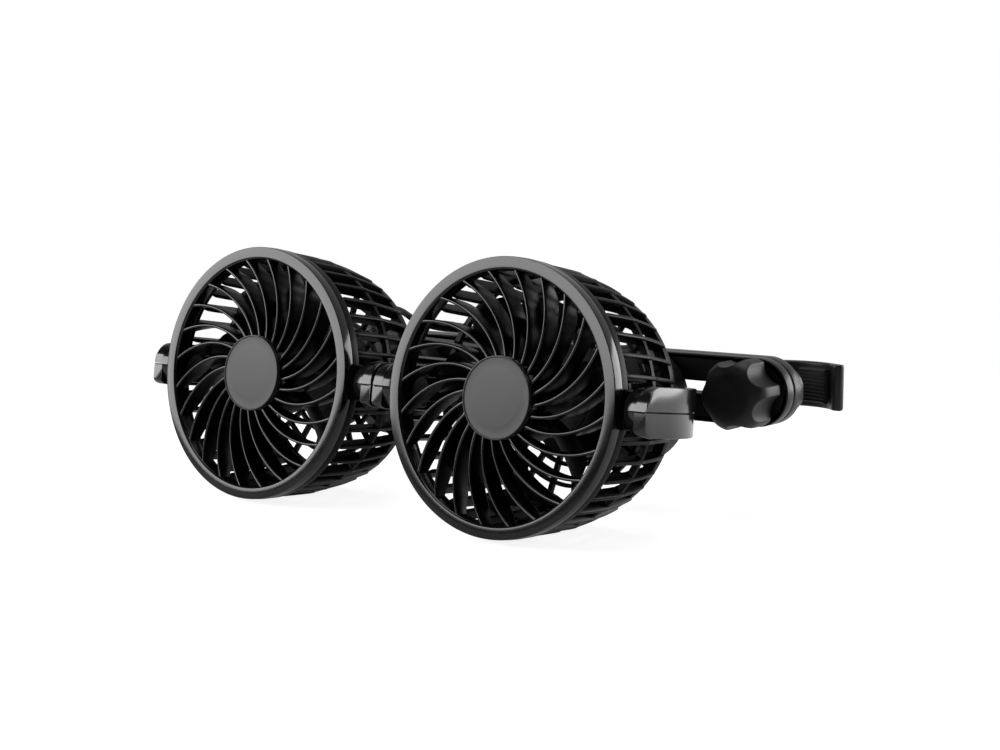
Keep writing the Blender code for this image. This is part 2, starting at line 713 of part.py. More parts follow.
def swivel_fasteners(side_name, parent, paints):
    """Bolt, washer and nut that hold the yoke on its hub base."""
    washer = BASE_FRONT + BASE_WALL + GAP
    nut = washer + SWIVEL_WASHER_THICKNESS + GAP
    head = YOKE_BOSS_FRONT + GAP
    shank = head + BOLT_HEAD_LENGTH - GAP
    profile = ((BOLT_HEAD_RADIUS, depth(head)), (BOLT_HEAD_RADIUS, depth(shank)),
               (BOLT_RADIUS, depth(shank)), (BOLT_RADIUS, depth(nut + NUT_LENGTH + GAP)))
    add_object(side_name + "_swivel_bolt", turned(profile, SMALL, along_y), parent, paints["steel"])
    ring = sleeve_profile(BOLT_RADIUS + GAP, SWIVEL_WASHER_RADIUS, depth(washer),
                          depth(washer + SWIVEL_WASHER_THICKNESS))
    add_object(side_name + "_swivel_washer", turned(ring, MEDIUM, along_y, bored=True), parent,
               paints["steel"])
    hexagon = bmesh.new()
    rod(hexagon, NUT_RADIUS, depth(nut), depth(nut + NUT_LENGTH), 6, along_y)
    bolt_nut = add_object(side_name + "_swivel_nut", hexagon, parent, paints["steel"])
    hole = bmesh.new()
    rod(hole, BOLT_RADIUS + GAP, depth(nut - OVERRUN), depth(nut + NUT_LENGTH + OVERRUN), SMALL, along_y)
    apply_tool(bolt_nut, add_tool(side_name + "_nut_hole", hole, parent), "DIFFERENCE")


def hub_base(name, unit, level, offset, material):
    """Round hollow foot of the yoke with a saddle that seats on the level clamp bar."""
    profile = ((BOLT_RADIUS + GAP, BASE_FRONT), (BASE_RADIUS - BASE_EDGE, BASE_FRONT),
               (BASE_RADIUS, BASE_FRONT + BASE_EDGE), (BASE_RADIUS, BASE_BACK),
               (BASE_ACCESS_RADIUS, BASE_BACK), (BASE_ACCESS_RADIUS, BASE_BACK - BASE_WALL),
               (BASE_RADIUS - BASE_WALL, BASE_BACK - BASE_WALL),
               (BASE_RADIUS - BASE_WALL, BASE_FRONT + BASE_EDGE),
               (BASE_RADIUS - BASE_EDGE, BASE_FRONT + BASE_WALL),
               (BOLT_RADIUS + GAP, BASE_FRONT + BASE_WALL))
    places = [(radius, depth(place)) for radius, place in profile]
    base = add_object(name, turned(places, FINE, along_y, bored=True), unit, material)
    saddle = bmesh.new()
    top = BAR_CENTRE_HEIGHT + BAR_HALF_HEIGHT - WALL
    low = BAR_CENTRE_HEIGHT - SADDLE_DROP
    box(saddle, (offset - SADDLE_HALF_WIDTH, SADDLE_FRONT, low),
        (offset + SADDLE_HALF_WIDTH, BAR_FRONT - GAP, top))
    apply_tool(base, add_tool(name + "_saddle", saddle, level), "UNION")
    cuts = bmesh.new()
    rod(cuts, BASE_ACCESS_RADIUS, depth(BASE_BACK - BASE_WALL), depth(BAR_FRONT + BASE_EDGE),
        MEDIUM, along_y)
    apply_tool(base, add_tool(name + "_access", cuts, unit), "DIFFERENCE")
    holes = bmesh.new()
    for side in SIDES.values():
        centre = hub_screw_centre(offset, side)
        rod(holes, HUB_SCREW_RADIUS + GAP, BAR_FRONT - HUB_SCREW_BITE - GAP, BAR_FRONT + OVERRUN,
            SMALL, along_y, centre)
    apply_tool(base, add_tool(name + "_screw_holes", holes, level), "DIFFERENCE")
    return base


def hub_screw_centre(offset, side):
    """Axis of a hub screw, in the upper limb of the clamp bar."""
    return (offset + side * HUB_SCREW_PITCH / 2, 0, BAR_CENTRE_HEIGHT + HUB_SCREW_HEIGHT)


def hub_screw(name, offset, side, parent, material):
    """Screw from the back of the clamp bar into a hub base."""
    head = BAR_FRONT + 2 * BAR_SHELL_DEPTH + 2 * GAP
    profile = ((HUB_SCREW_RADIUS, BAR_FRONT - HUB_SCREW_BITE), (HUB_SCREW_RADIUS, head),
               (HUB_SCREW_HEAD_RADIUS, head), (HUB_SCREW_HEAD_RADIUS, head + HUB_SCREW_HEAD_LENGTH))
    shape = turned(profile, SMALL, along_y, hub_screw_centre(offset, side))
    return add_object(name, shape, parent, material)


def stadium(left, right, half, steps):
    """A round-ended outline about the clamp bar's centre height, as (x, z) points."""
    points = []
    for centre, start in ((right - half, -math.pi / 2), (left + half, math.pi / 2)):
        for step in range(steps + 1):
            angle = start + math.pi * step / steps
            points.append((centre + half * math.cos(angle), BAR_CENTRE_HEIGHT + half * math.sin(angle)))
    return points


def bar_shell(name, start, face_side, parent, material):
    """Front or rear half of the clamp bar: a plate with a rim, slots and screw bosses."""
    end = start + BAR_SHELL_DEPTH
    shape = bmesh.new()
    extrude_y(shape, stadium(-BAR_HALF_LENGTH, BAR_HALF_LENGTH, BAR_HALF_HEIGHT, END_STEPS), start, end)
    shell = add_object(name, shape, parent, material)
    if face_side < 0:
        low, high = start + WALL, end + OVERRUN
    else:
        low, high = start - OVERRUN, end - WALL
    hollow = bmesh.new()
    reach = BAR_HALF_LENGTH - WALL
    extrude_y(hollow, stadium(-reach, reach, BAR_HALF_HEIGHT - WALL, END_STEPS), low, high)
    cavity = add_tool(name + "_hollow", hollow, parent)
    islands = bmesh.new()
    slots = bmesh.new()
    holes = bmesh.new()
    for side in SIDES.values():
        near, far = sorted((side * SLOT_INNER_END, side * SLOT_OUTER_END))
        rim = stadium(near - WALL, far + WALL, SLOT_HALF_HEIGHT + WALL, SLOT_STEPS)
        extrude_y(islands, rim, low - OVERRUN, high + OVERRUN)
        slot = stadium(near, far, SLOT_HALF_HEIGHT, SLOT_STEPS)
        extrude_y(slots, slot, start - OVERRUN, end + OVERRUN)
        for screw in SIDES.values():
            centre = hub_screw_centre(side * HEAD_SPACING / 2, screw)
            rod(islands, SCREW_BOSS_RADIUS, low - OVERRUN, high + OVERRUN, SMALL, along_y, centre)
            rod(holes, HUB_SCREW_RADIUS + GAP, start - OVERRUN, end + OVERRUN, SMALL, along_y, centre)
    apply_tool(cavity, add_tool(name + "_islands", islands, parent), "DIFFERENCE")
    apply_tool(shell, cavity, "DIFFERENCE")
    apply_tool(shell, add_tool(name + "_slots", slots, parent), "DIFFERENCE")
    apply_tool(shell, add_tool(name + "_holes", holes, parent), "DIFFERENCE")
    return shell


def bar_back():
    """Depth of the clamp bar's rear face."""
    return BAR_FRONT + 2 * BAR_SHELL_DEPTH + GAP


def ribbon(path, half):
    """Outline of a strip along a plan path, as (x, y) points."""
    left, right = [], []
    for index, place in enumerate(path):
        before = path[max(index - 1, 0)]
        after = path[min(index + 1, len(path) - 1)]
        heading = (after - before).normalized()
        offset = Vector((-heading.y, heading.x)) * half
        left.append(place + offset)
        right.append(place - offset)
    return left + list(reversed(right))


def jaw(name, side, parent, material):
    """Hook that curls round a headrest post, with its base plate behind the bar."""
    base = GAP + JAW_WALL / 2
    centre = Vector((JAW_CENTRE_OFFSET, base + JAW_CENTRE_BACK))
    path = [Vector((JAW_BASE_REACH, base)), Vector((0, base))]
    path.append(Vector((centre.x - JAW_RADIUS + JAW_CENTRE_BACK * 2, base)))
    for step in range(JAW_ARC_STEPS + 1):
        angle = math.pi + (JAW_ARC_END - math.pi) * step / JAW_ARC_STEPS
        path.append(centre + JAW_RADIUS * Vector((math.cos(angle), math.sin(angle))))
    outline = [(side * point[0], point[1]) for point in ribbon(path, JAW_WALL / 2)]
    shape = bmesh.new()
    extrude_z(shape, outline, -JAW_HALF_HEIGHT, JAW_HALF_HEIGHT)
    hook = add_object(name, shape, parent, material)
    lip = bmesh.new()
    tip = path[-1]
    rod(lip, JAW_LIP_RADIUS, -JAW_HALF_HEIGHT, JAW_HALF_HEIGHT, COARSE, along_z, (side * tip.x, tip.y, 0))
    apply_tool(hook, add_tool(name + "_lip", lip, parent), "UNION")
    bores = bmesh.new()
    seat = GAP + JAW_WALL - CLAMP_BOLT_HEAD_LENGTH - GAP
    profile = ((CLAMP_BOLT_RADIUS + GAP, -OVERRUN), (CLAMP_BOLT_RADIUS + GAP, seat),
               (CLAMP_BOLT_HEAD_RADIUS + GAP, seat), (CLAMP_BOLT_HEAD_RADIUS + GAP, JAW_WALL + OVERRUN))
    turn(bores, profile, SMALL, along_y)
    apply_tool(hook, add_tool(name + "_bore", bores, parent), "DIFFERENCE")
    return hook


def jaw_pad(name, side, parent, material):
    """Ribbed rubber pad lining the hook."""
    centre = Vector((JAW_CENTRE_OFFSET, GAP + JAW_WALL / 2 + JAW_CENTRE_BACK))
    backing = JAW_RADIUS - JAW_WALL / 2 - GAP * 2
    face = backing - PAD_THICKNESS
    pitch = 2 * PAD_HALF_HEIGHT / PAD_RIDGE_COUNT
    rings = []
    for step in range(PAD_STEPS + 1):
        angle = PAD_START + (PAD_END - PAD_START) * step / PAD_STEPS
        heading = Vector((side * math.cos(angle), math.sin(angle)))
        middle = Vector((side * centre.x, centre.y))
        ring = [Vector((*(middle + heading * backing), -PAD_HALF_HEIGHT))]
        for ridge in range(PAD_RIDGE_COUNT):
            foot = -PAD_HALF_HEIGHT + ridge * pitch
            ring.append(Vector((*(middle + heading * face), foot)))
            ring.append(Vector((*(middle + heading * (face - PAD_RIDGE_HEIGHT)), foot + pitch / 2)))
        ring.append(Vector((*(middle + heading * face), PAD_HALF_HEIGHT)))
        ring.append(Vector((*(middle + heading * backing), PAD_HALF_HEIGHT)))
        rings.append(ring)
    shape = bmesh.new()
    skin(shape, rings)
    return add_object(name, shape, parent, material)


def clamp_bolt(name, parent, material):
    """Bolt from the jaw through the slot into the knob; it stands in the jaw's frame."""
    head = GAP + JAW_WALL - CLAMP_BOLT_HEAD_LENGTH
    reach = knob_back() - KNOB_RECESS_DEPTH
    profile = ((CLAMP_BOLT_HEAD_RADIUS, head + CLAMP_BOLT_HEAD_LENGTH), (CLAMP_BOLT_HEAD_RADIUS, head),
               (CLAMP_BOLT_RADIUS, head), (CLAMP_BOLT_RADIUS, reach + GAP))
    return add_object(name, turned(profile, SMALL, along_y), parent, material)


def knob_back():
    """Place of the knob's rear face in the jaw's frame, whose zero is the bar's rear face."""
    return -2 * BAR_SHELL_DEPTH - GAP - GAP - KNOB_WASHER_THICKNESS - GAP


def knob_washer(name, parent, material):
    """Washer between the knob and the clamp bar."""
    start = knob_back() + GAP
    ring = sleeve_profile(CLAMP_BOLT_RADIUS + GAP, KNOB_WASHER_RADIUS, start, start + KNOB_WASHER_THICKNESS)
    return add_object(name, turned(ring, MEDIUM, along_y, bored=True), parent, material)


def clamp_knob(name, parent, material):
    """Star knob with a domed front and a hollow back."""
    pitch = math.tau / KNOB_LOBES
    rings = []
    for along, size in KNOB_DOME_SHARES:
        place = knob_back() - KNOB_LENGTH * along
        ring = []
        for lobe in range(KNOB_LOBES):
            for turned_by, share in KNOB_LOBE_SHAPE:
                angle = KNOB_PHASE + pitch * (lobe + turned_by)
                ring.append(along_y(KNOB_RADIUS * min(size, share), angle, place))
        rings.append(ring)
    shape = bmesh.new()
    skin(shape, rings)
    knob = add_object(name, shape, parent, material)
    hollow = bmesh.new()
    floor = knob_back() - KNOB_RECESS_DEPTH
    turn(hollow, sleeve_profile(KNOB_STEM_RADIUS, KNOB_RADIUS - KNOB_WALL, floor, knob_back() + OVERRUN),
         MEDIUM, along_y, bored=True)
    rod(hollow, CLAMP_BOLT_RADIUS + GAP, floor, knob_back() + OVERRUN, SMALL, along_y)
    apply_tool(knob, add_tool(name + "_hollow", hollow, parent), "DIFFERENCE")
    return knob


def radial_frame(angle):
    """Place and direction on a hub base's rim, in the unit's frame."""
    outward = along_y(1, angle, 0)
    place = outward * (BASE_RADIUS + GAP)
    place.y = depth(BASE_FRONT + GLAND_INSET)
    return place, outward


def gland(name, angle, unit, material):
    """Sleeve on a hub base's rim that a lead comes out of."""
    place, outward = radial_frame(angle)
    spin = Vector((0, 0, 1)).rotation_difference(outward).to_matrix()
    shape = bmesh.new()
    profile = sleeve_profile(GLAND_BORE, GLAND_RADIUS, 0, GLAND_LENGTH)

    def on_rim(radius, angle_round, along):
        return place + spin @ along_z(radius, angle_round, along)

    turn(shape, profile, COARSE, on_rim, bored=True)
    return add_object(name, shape, unit, material)


def smooth_route(points, spacing):
    """Even points along a smooth curve through a route's own points."""
    padded = [2 * points[0] - points[1]] + points + [2 * points[-1] - points[-2]]
    route = []
    for index in range(len(points) - 1):
        before, start, end, after = padded[index:index + 4]
        steps = max(1, round((end - start).length / spacing))
        for step in range(steps):
            share = step / steps
            route.append(0.5 * (2 * start + (end - before) * share
                                + (2 * before - 5 * start + 4 * end - after) * share ** 2
                                + (3 * start - before - 3 * end + after) * share ** 3))
    route.append(points[-1])
    return route


def link_lead(name, units, parent, material):
    """Lead from the left hub, looped up beside it, then along the bar to the right hub."""
    ends = []
    for side_name, angle in (("left", LEFT_GLAND_ANGLE), ("right", RIGHT_GLAND_ANGLE)):
        place, outward = radial_frame(angle)
        frame = units[side_name]
        pitched = frame.rotation_euler.to_matrix()
        start = frame.location + pitched @ (place + outward * (GLAND_LENGTH + GAP))
        ends.append((start, pitched @ outward))
    (first, leaving), (last, arriving) = ends
    bar_edge = Vector((0, BAR_FRONT, BAR_CENTRE_HEIGHT + BAR_HALF_HEIGHT))
    straight = 4 * LEAD_RADIUS
    route = [first, first + leaving * straight]
    route += [bar_edge + Vector(place) for place in LINK_LEAD_ROUTE]
    route += [last + arriving * straight, last]
    curve = bpy.data.curves.new(name, "CURVE")
    curve.dimensions = "3D"
    curve.bevel_depth = LEAD_RADIUS
    curve.bevel_resolution = 2
    curve.use_fill_caps = True
    places = smooth_route(route, LEAD_POINT_SPACING)
    spline = curve.splines.new("POLY")
    spline.points.add(len(places) - 1)
    for point, place in zip(spline.points, places):
        point.co = (*place, 1)
    lead = bpy.data.objects.new(name, curve)
    bpy.context.scene.collection.objects.link(lead)
    lead.parent = parent
    curve.materials.append(material)
    return lead


def build_head(side_name, unit, paints):
    """One tilting head with its rotor."""
    head = add_empty(side_name + "_head", (0, 0, 0), unit)
    rotor = add_empty(side_name + "_rotor", (0, depth(SHAFT_FRONT), 0), head)
    rotor_frame = add_empty(side_name + "_rotor_frame", (0, -depth(SHAFT_FRONT), 0), rotor)
    front_grille(side_name + "_front_grille", head, paints["gloss_black"])
    grille_badge(side_name + "_grille_badge", head, paints["badge_grey"])
    rear_cage(side_name + "_rear_cage", head, paints["satin_black"])
    motor(side_name, head, paints)
    toward_middle = -SIDES[side_name]
    for place, side in (("inner", toward_middle), ("outer", -toward_middle)):
        pivot_pin(f"{side_name}_{place}_pivot_pin", side, head, paints["matte_black"])
        friction_washer(f"{side_name}_{place}_friction_washer", side, head, paints["rubber"])
    impeller(side_name + "_impeller", rotor_frame, paints["matte_black"])
    motor_shaft(side_name + "_motor_shaft", rotor_frame, paints["steel"])


def build_yoke(side_name, unit, paints):
    """One C-shaped yoke with its swivel fasteners."""
    yoke = add_empty(side_name + "_yoke", (0, 0, 0), unit)
    yoke_shell(side_name + "_yoke_upper_shell", 1, yoke, paints["gloss_black"])
    yoke_shell(side_name + "_yoke_lower_shell", -1, yoke, paints["gloss_black"])
    toward_middle = -SIDES[side_name]
    for place, side in (("inner", toward_middle), ("outer", -toward_middle)):
        yoke_screw(f"{side_name}_yoke_screw_{place}", side, yoke, paints["steel"])
    swivel_fasteners(side_name, yoke, paints)


def build_clamp_side(side_name, level, paints):
    """One jaw with its pad, bolt, washer and knob."""
    side = SIDES[side_name]
    place = (side * BOLT_STATION, bar_back(), BAR_CENTRE_HEIGHT)
    carriage = add_empty(side_name + "_jaw_carriage", place, level)
    jaw(side_name + "_jaw", side, carriage, paints["satin_black"])
    jaw_pad(side_name + "_jaw_pad", side, carriage, paints["rubber"])
    clamp_bolt(side_name + "_clamp_bolt", carriage, paints["steel"])
    knob = add_empty(side_name + "_knob_axis", (0, 0, 0), carriage)
    knob_washer(side_name + "_knob_washer", knob, paints["matte_black"])
    clamp_knob(side_name + "_clamp_knob", knob, paints["matte_black"])


def stand_on_floor(level):
    """Put the lowest point at zero height and the middle of the depth at zero."""
    bpy.context.view_layer.update()
    graph = bpy.context.evaluated_depsgraph_get()
    lowest, nearest, farthest = [], [], []
    for item in bpy.context.scene.objects:
        if item.hide_render or item.type not in {"MESH", "CURVE"}:
            continue
        shaped = item.evaluated_get(graph)
        mesh = shaped.to_mesh()
        places = [shaped.matrix_world @ vertex.co for vertex in mesh.vertices]
        lowest.append(min(place.z for place in places))
        nearest.append(min(place.y for place in places))
        farthest.append(max(place.y for place in places))
        shaped.to_mesh_clear()
    level.location = (0, -(min(nearest) + max(farthest)) / 2, -min(lowest))


def main():
    """Build the fan, heads first."""
    for item in list(bpy.data.objects):
        bpy.data.objects.remove(item)
    paints = make_paints()
    level = add_empty("level", (0, 0, 0))
    units = {}
    for side_name, side in SIDES.items():
        offset = side * HEAD_SPACING / 2
        unit = add_empty(side_name + "_unit", (offset, PIVOT_DEPTH * math.cos(PITCH), -PIVOT_DROP),
                         level, (-PITCH, 0, 0))
        units[side_name] = unit
        build_head(side_name, unit, paints)
        build_yoke(side_name, unit, paints)
        hub_base(side_name + "_hub_base", unit, level, offset, paints["matte_black"])
        for index, screw in enumerate(SIDES.values(), start=1):
            hub_screw(f"{side_name}_hub_screw_{index}", offset, screw, level, paints["steel"])
        build_clamp_side(side_name, level, paints)
    bar_shell("clamp_bar_front", BAR_FRONT, -1, level, paints["satin_black"])
    bar_shell("clamp_bar_rear", BAR_FRONT + BAR_SHELL_DEPTH + GAP, 1, level, paints["satin_black"])
    gland("left_lead_gland", LEFT_GLAND_ANGLE, units["left"], paints["rubber"])
    gland("right_lead_gland", RIGHT_GLAND_ANGLE, units["right"], paints["rubber"])
    gland("cord_gland", CORD_GLAND_ANGLE, units["left"], paints["rubber"])
    link_lead("link_lead", units, level, paints["rubber"])
    stand_on_floor(level)


main()
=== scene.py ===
"""Dual head car fan on a headrest clamp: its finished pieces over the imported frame."""
import json
import math

import bmesh
import bpy
from mathutils import Matrix, Vector


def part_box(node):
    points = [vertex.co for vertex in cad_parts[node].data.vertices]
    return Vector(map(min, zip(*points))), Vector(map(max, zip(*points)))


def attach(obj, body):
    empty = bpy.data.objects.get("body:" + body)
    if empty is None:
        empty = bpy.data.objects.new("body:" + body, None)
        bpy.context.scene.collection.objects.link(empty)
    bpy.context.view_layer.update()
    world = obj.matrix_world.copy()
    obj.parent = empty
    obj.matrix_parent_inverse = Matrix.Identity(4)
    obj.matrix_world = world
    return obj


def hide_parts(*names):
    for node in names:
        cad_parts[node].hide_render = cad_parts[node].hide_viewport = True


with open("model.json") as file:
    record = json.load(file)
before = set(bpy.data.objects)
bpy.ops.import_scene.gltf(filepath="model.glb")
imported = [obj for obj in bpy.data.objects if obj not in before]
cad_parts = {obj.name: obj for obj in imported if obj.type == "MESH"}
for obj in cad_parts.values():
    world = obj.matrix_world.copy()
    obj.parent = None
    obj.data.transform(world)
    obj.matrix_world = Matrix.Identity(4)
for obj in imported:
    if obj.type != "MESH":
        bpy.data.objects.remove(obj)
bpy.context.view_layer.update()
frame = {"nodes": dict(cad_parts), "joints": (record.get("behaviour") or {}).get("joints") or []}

SIDES = {"left": -1, "right": 1}
HEAD_SPACING = 0.14134
PIVOT_DEPTH = 0.0124
PITCH = math.radians(7.5)
GAP = 0.0003

# Guard: depths run back from the ring's front face
RING_RADIUS = 0.0575
RING_BORE = 0.05175
RING_DEPTH = 0.0051
RING_LIP = 0.0011
RIB_COUNT = 24
RIB_TWIST = math.radians(32.8)
RIB_PHASE = math.radians(68.7)
RIB_THICKNESS = 0.0014
RIB_FRONT = 0.00085
RIB_BACK = 0.0102
RIB_BACK_AT_HUB = 0.0056
RIB_BACK_AT_RING = 0.0066
RIB_DEEP_SPAN = (0.0262, 0.0455)
RIB_INTO_BOSS = 0.0008
RIB_INTO_RING = 0.0004
RIB_FRONT_FACING = 0.3
BOSS_RADIUS = 0.0173
BOSS_FRONT = 0.0012
BOSS_BACK = 0.0056
BADGE_RADIUS = 0.0171
BADGE_BACK = 0.0009
FLANGE_BORE = 0.0532
FLANGE_RADIUS = 0.0572
FLANGE_BACK = 0.0103
FIN_COUNT = 40
FIN_PITCH = math.tau / FIN_COUNT
FIN_THICKNESS = 0.0019
FIN_WALL = 0.0038
FIN_WALL_MIDDLE = 0.0052
FIN_PROUD = 0.0009
FIN_LINE = ((0.0092, 0.0569), (0.0200, 0.0564), (0.0315, 0.0557), (0.0345, 0.0551), (0.0440, 0.0535),
            (0.0523, 0.0516), (0.0545, 0.0510))
MID_HOOP_DEPTH = 0.0315
MID_HOOP_WIDTH = 0.0026
MID_HOOP_FLARE = 0.0012
CAGE_BACK = 0.0575
REAR_WALL = 0.0032
REAR_RIM = 0.0446
REAR_HOOPS = (0.0365, 0.0275)
REAR_HOOP_HALF_WIDTH = 0.0009
REAR_BAR_COUNT = 20
PLATE_RADIUS = 0.024
PLATE_BORE = 0.012
TRUNNION_SPAN = (0.0525, 0.0584)
TRUNNION_DEPTHS = (0.0060, 0.0195)
TRUNNION_HALF_HEIGHT = 0.008

# Motor and impeller
MOTOR_RADIUS = 0.0157
MOTOR_FRONT = 0.0131
MOTOR_BACK = 0.0431
CAP_BACK = 0.054
HUB_RADIUS = 0.0185
HUB_FRONT = 0.0075
HUB_BACK = 0.0227
BLADE_COUNT = 7
BLADE_TIP_RADIUS = 0.044
BLADE_FRONT = 0.0118
BLADE_BACK = 0.0215
BLADE_PHASE = math.radians(24)
BLADE_SWEEPS = (math.radians(16), math.radians(12))
BLADE_LEAN = math.radians(12)
BLADE_THICKNESS = 0.0016
BLADE_CAMBER = 0.0009

# Yoke and swivel
YOKE_CENTRE = 0.019
YOKE_OUTSIDE = 0.07
YOKE_INSIDE = 0.0645
YOKE_HALF_HEIGHT = 0.01
YOKE_FRONT = 0.003
YOKE_NOSES = {"upper": (0.0085, 0), "lower": (0.0048, 0.72)}
SEAM = 0.0003
BARREL_RADIUS = 0.0094
BARREL_STATIONS = ((0.0601, 0.0005), (0.0602, 0.0002), (0.0606, 0), (0.0692, 0))
SWIVEL_BOSS_RADIUS = 0.014
SWIVEL_BOSS_STATIONS = ((0.0835, 0.0008), (0.0838, 0.0003), (0.0844, 0), (0.0908, 0), (0.0914, 0.0003),
                        (0.0917, 0.0008))
PIN_RADIUS = 0.004
PIN_HEAD_RADIUS = 0.0052
PIN_HEAD_LENGTH = 0.0015
PIN_SPAN = (0.0522, 0.0665)
WASHER_RADIUS = 0.008
WASHER_SPAN = (0.0587, 0.0598)
YOKE_SCREW_PITCH = 0.017
YOKE_SCREW_DEPTH = 0.0879
YOKE_SCREW_TOP = 0.005
BASE_RADIUS = 0.0266
BASE_BORE = 0.0033
BASE_FRONT = 0.093
BASE_BACK = 0.1059
BASE_WALL = 0.0018
SADDLE_SPAN = (0.0095, 0.0135)
SADDLE_FRONT = 0.1035
SADDLE_HEIGHTS = (-0.0146, 0.00945)

# Clamp bar, jaws and knobs
BAR_CENTRE_HEIGHT = -0.0041
BAR_FRONT = 0.1087
BAR_HALF_LENGTH = 0.144
BAR_HALF_HEIGHT = 0.01505
BAR_SHELL_DEPTH = 0.0059
BAR_BACK = BAR_FRONT + 2 * BAR_SHELL_DEPTH + GAP
BAR_RIM = 0.003
BAR_FIELD_DEPTH = 0.0018
SLOT_INNER_END = 0.04
SLOT_OUTER_END = 0.1319
SLOT_HALF_HEIGHT = 0.003
SLOT_LIP = 0.0013
HUB_SCREW_PITCH = 0.02
HUB_SCREW_HEIGHT = 0.0092
BOLT_STATION = 0.126
BOLT_FRONT = -0.0270
BOLT_RADIUS = 0.002
BOLT_HEAD_RADIUS = 0.0038
BOLT_HEAD_LENGTH = 0.0018
SOCKET_RADIUS = 0.0018
SOCKET_DEPTH = 0.0012
JAW_WALL = 0.0042
JAW_SLACK = 0.0001
JAW_FOOT_FLAT = 0.0085
JAW_FOOT_ROUND = 0.008
JAW_FOOT_TAPER = 0.85
JAW_BEND_START = -0.006
JAW_BEND = 0.0035
JAW_BEAD = 0.4
JAW_TIP_ROUND = math.radians(84)
JAW_HALF_HEIGHT = 0.0102
JAW_RADIUS = 0.0265
JAW_CENTRE = Vector((0.006, 0.0044))
JAW_ARC_END = math.radians(52)
PAD_RIDGES = 10
PAD_HALF_HEIGHT = 0.0077
PAD_ARC = (math.radians(98), math.radians(60))
PAD_WALL = 0.0017
PAD_RIDGE_ROOT = 0.0003
PAD_RIDGE_PROUD = 0.0007
KNOB_RADIUS = 0.016
KNOB_LOBES = 6
KNOB_FLUTE_TURN = math.radians(39)
KNOB_FLUTE_CENTRE = 0.0219
KNOB_FLUTE_RADIUS = 0.0093
KNOB_FLUTE_BLEND = 0.00035
KNOB_BORE = 0.0023
KNOB_HOLLOW = 0.0125
KNOB_LENGTH = 0.018
COLLAR_RADIUS = 0.009
COLLAR_LENGTH = 0.002
KNOB_BACK = -2 * BAR_SHELL_DEPTH - 0.0029
KNOB_PROFILE = ((0, 0.95), (0.02, 0.985), (0.06, 1), (0.3, 1), (0.5, 1), (0.6, 0.993), (0.7, 0.97),
                (0.8, 0.92), (0.88, 0.85), (0.94, 0.755), (0.975, 0.63), (0.99, 0.48), (0.997, 0.25), (1, 0))

# Leads
LEAD_RADIUS = 0.0016
LEAD_ROUTE = ((-0.0905, 0.1020, 0.0195), (-0.0800, 0.1015, 0.0232), (-0.0690, 0.1010, 0.0222),
              (-0.0610, 0.1030, 0.0178), (-0.0520, 0.1085, 0.0144), (-0.0380, 0.1135, 0.0134),
              (-0.0180, 0.1145, 0.0132), (0.0020, 0.1145, 0.0132), (0.0190, 0.1135, 0.0134),
              (0.0300, 0.1095, 0.0140), (0.0365, 0.1040, 0.0120))
GLANDS = {"left_lead_gland": ("left", math.radians(126)), "right_lead_gland": ("right", math.radians(148)),
          "cord_gland": ("left", math.radians(-118))}
GLAND_DEPTH = 0.0995
GLAND_REACH = (0.0043, 0.0107)
GLAND_PROFILE = ((0.0012, 0), (0.0031, 0), (0.0031, 0.0008), (0.0026, 0.0010), (0.0026, 0.0014),
                 (0.0029, 0.0016), (0.0029, 0.0022), (0.0024, 0.0024), (0.0024, 0.0028), (0.0027, 0.0030),
                 (0.0025, 0.0040), (0.0012, 0.0040))

# Moulded finishes: material, colour, roughness, grain scale, grain depth, marks, shine
MOULDINGS = {
    "gloss": ("gloss_black_moulding", (0.003, 0.003, 0.0034), 0.13, 1800, 0.03, 0.08, 0.5),
    "ribs": ("guard_rib_black", (0.002, 0.002, 0.0022), 0.17, 1800, 0.03, 0.02, 0.5),
    "rib_sides": ("rib_side_black", (0.002, 0.002, 0.0022), 0.3, 1800, 0.03, 0.02, 0.12),
    "arm": ("yoke_gloss_black", (0.004, 0.004, 0.0044), 0.14, 1800, 0.03, 0.06, 0.75),
    "blades": ("impeller_black", (0.002, 0.002, 0.0022), 0.34, 1400, 0.03, 0.02, 0.12),
    "cage": ("cage_black", (0.0025, 0.0025, 0.0028), 0.32, 2200, 0.08, 0.03, 0.1),
    "satin": ("satin_black_moulding", (0.012, 0.012, 0.0125), 0.32, 2200, 0.08, 0.04, 0.5),
    "matte": ("matte_black_nylon", (0.01, 0.01, 0.01), 0.46, 3200, 0.22, 0.04, 0.45),
    "badge": ("cap_grey", (0.034, 0.034, 0.033), 0.42, 3000, 0.12, 0.02, 0.5),
    "rubber": ("black_rubber", (0.012, 0.012, 0.012), 0.52, 2600, 0.3, 0.04, 0.5),
}
MOULDING_WEAR = (0.09, 0.09, 0.088, 1)

# Steel finishes: material, colour, roughness, ring scale
STEELS = {
    "steel": ("zinc_plated_steel", (0.58, 0.58, 0.59), 0.32, 2400),
    # The motor can's near-black colour is painted shade for the dark inside of the cage.
    "can": ("can_steel_painted_shade", (0.03, 0.03, 0.032), 0.42, 1500),
}
STEEL_WEAR = (0.3, 0.29, 0.28, 1)
RELIEF_DISTANCE = 0.00005

# Studio: softboxes as place, target, width, height, radiance and roll
SOFTBOXES = {
    "front_left_softbox": ((-0.93, -1.1, 0.54), (-0.05, -0.05, 0.2), 1.3, 0.86, 5.3, math.radians(14)),
    "back_right_softbox": ((0.85, 1.25, 0.3), (0.05, 0, 0.06), 0.9, 0.6, 4.6, 0),
    "top_softbox": ((0.1, 0.1, 1.3), (0, 0, 0), 0.9, 0.9, 1.9, 0),
}
FLOOR_SIZE = 12
FLOOR_GREY = 0.5
FLOOR_GLOW = 0.87
CAMERA_LENS = 60.81
CAMERA_PLACE = Vector((0.487168, -0.532549, 0.089585))
CAMERA_HEADING = Vector((-0.610186, 0.783483, -0.117594))

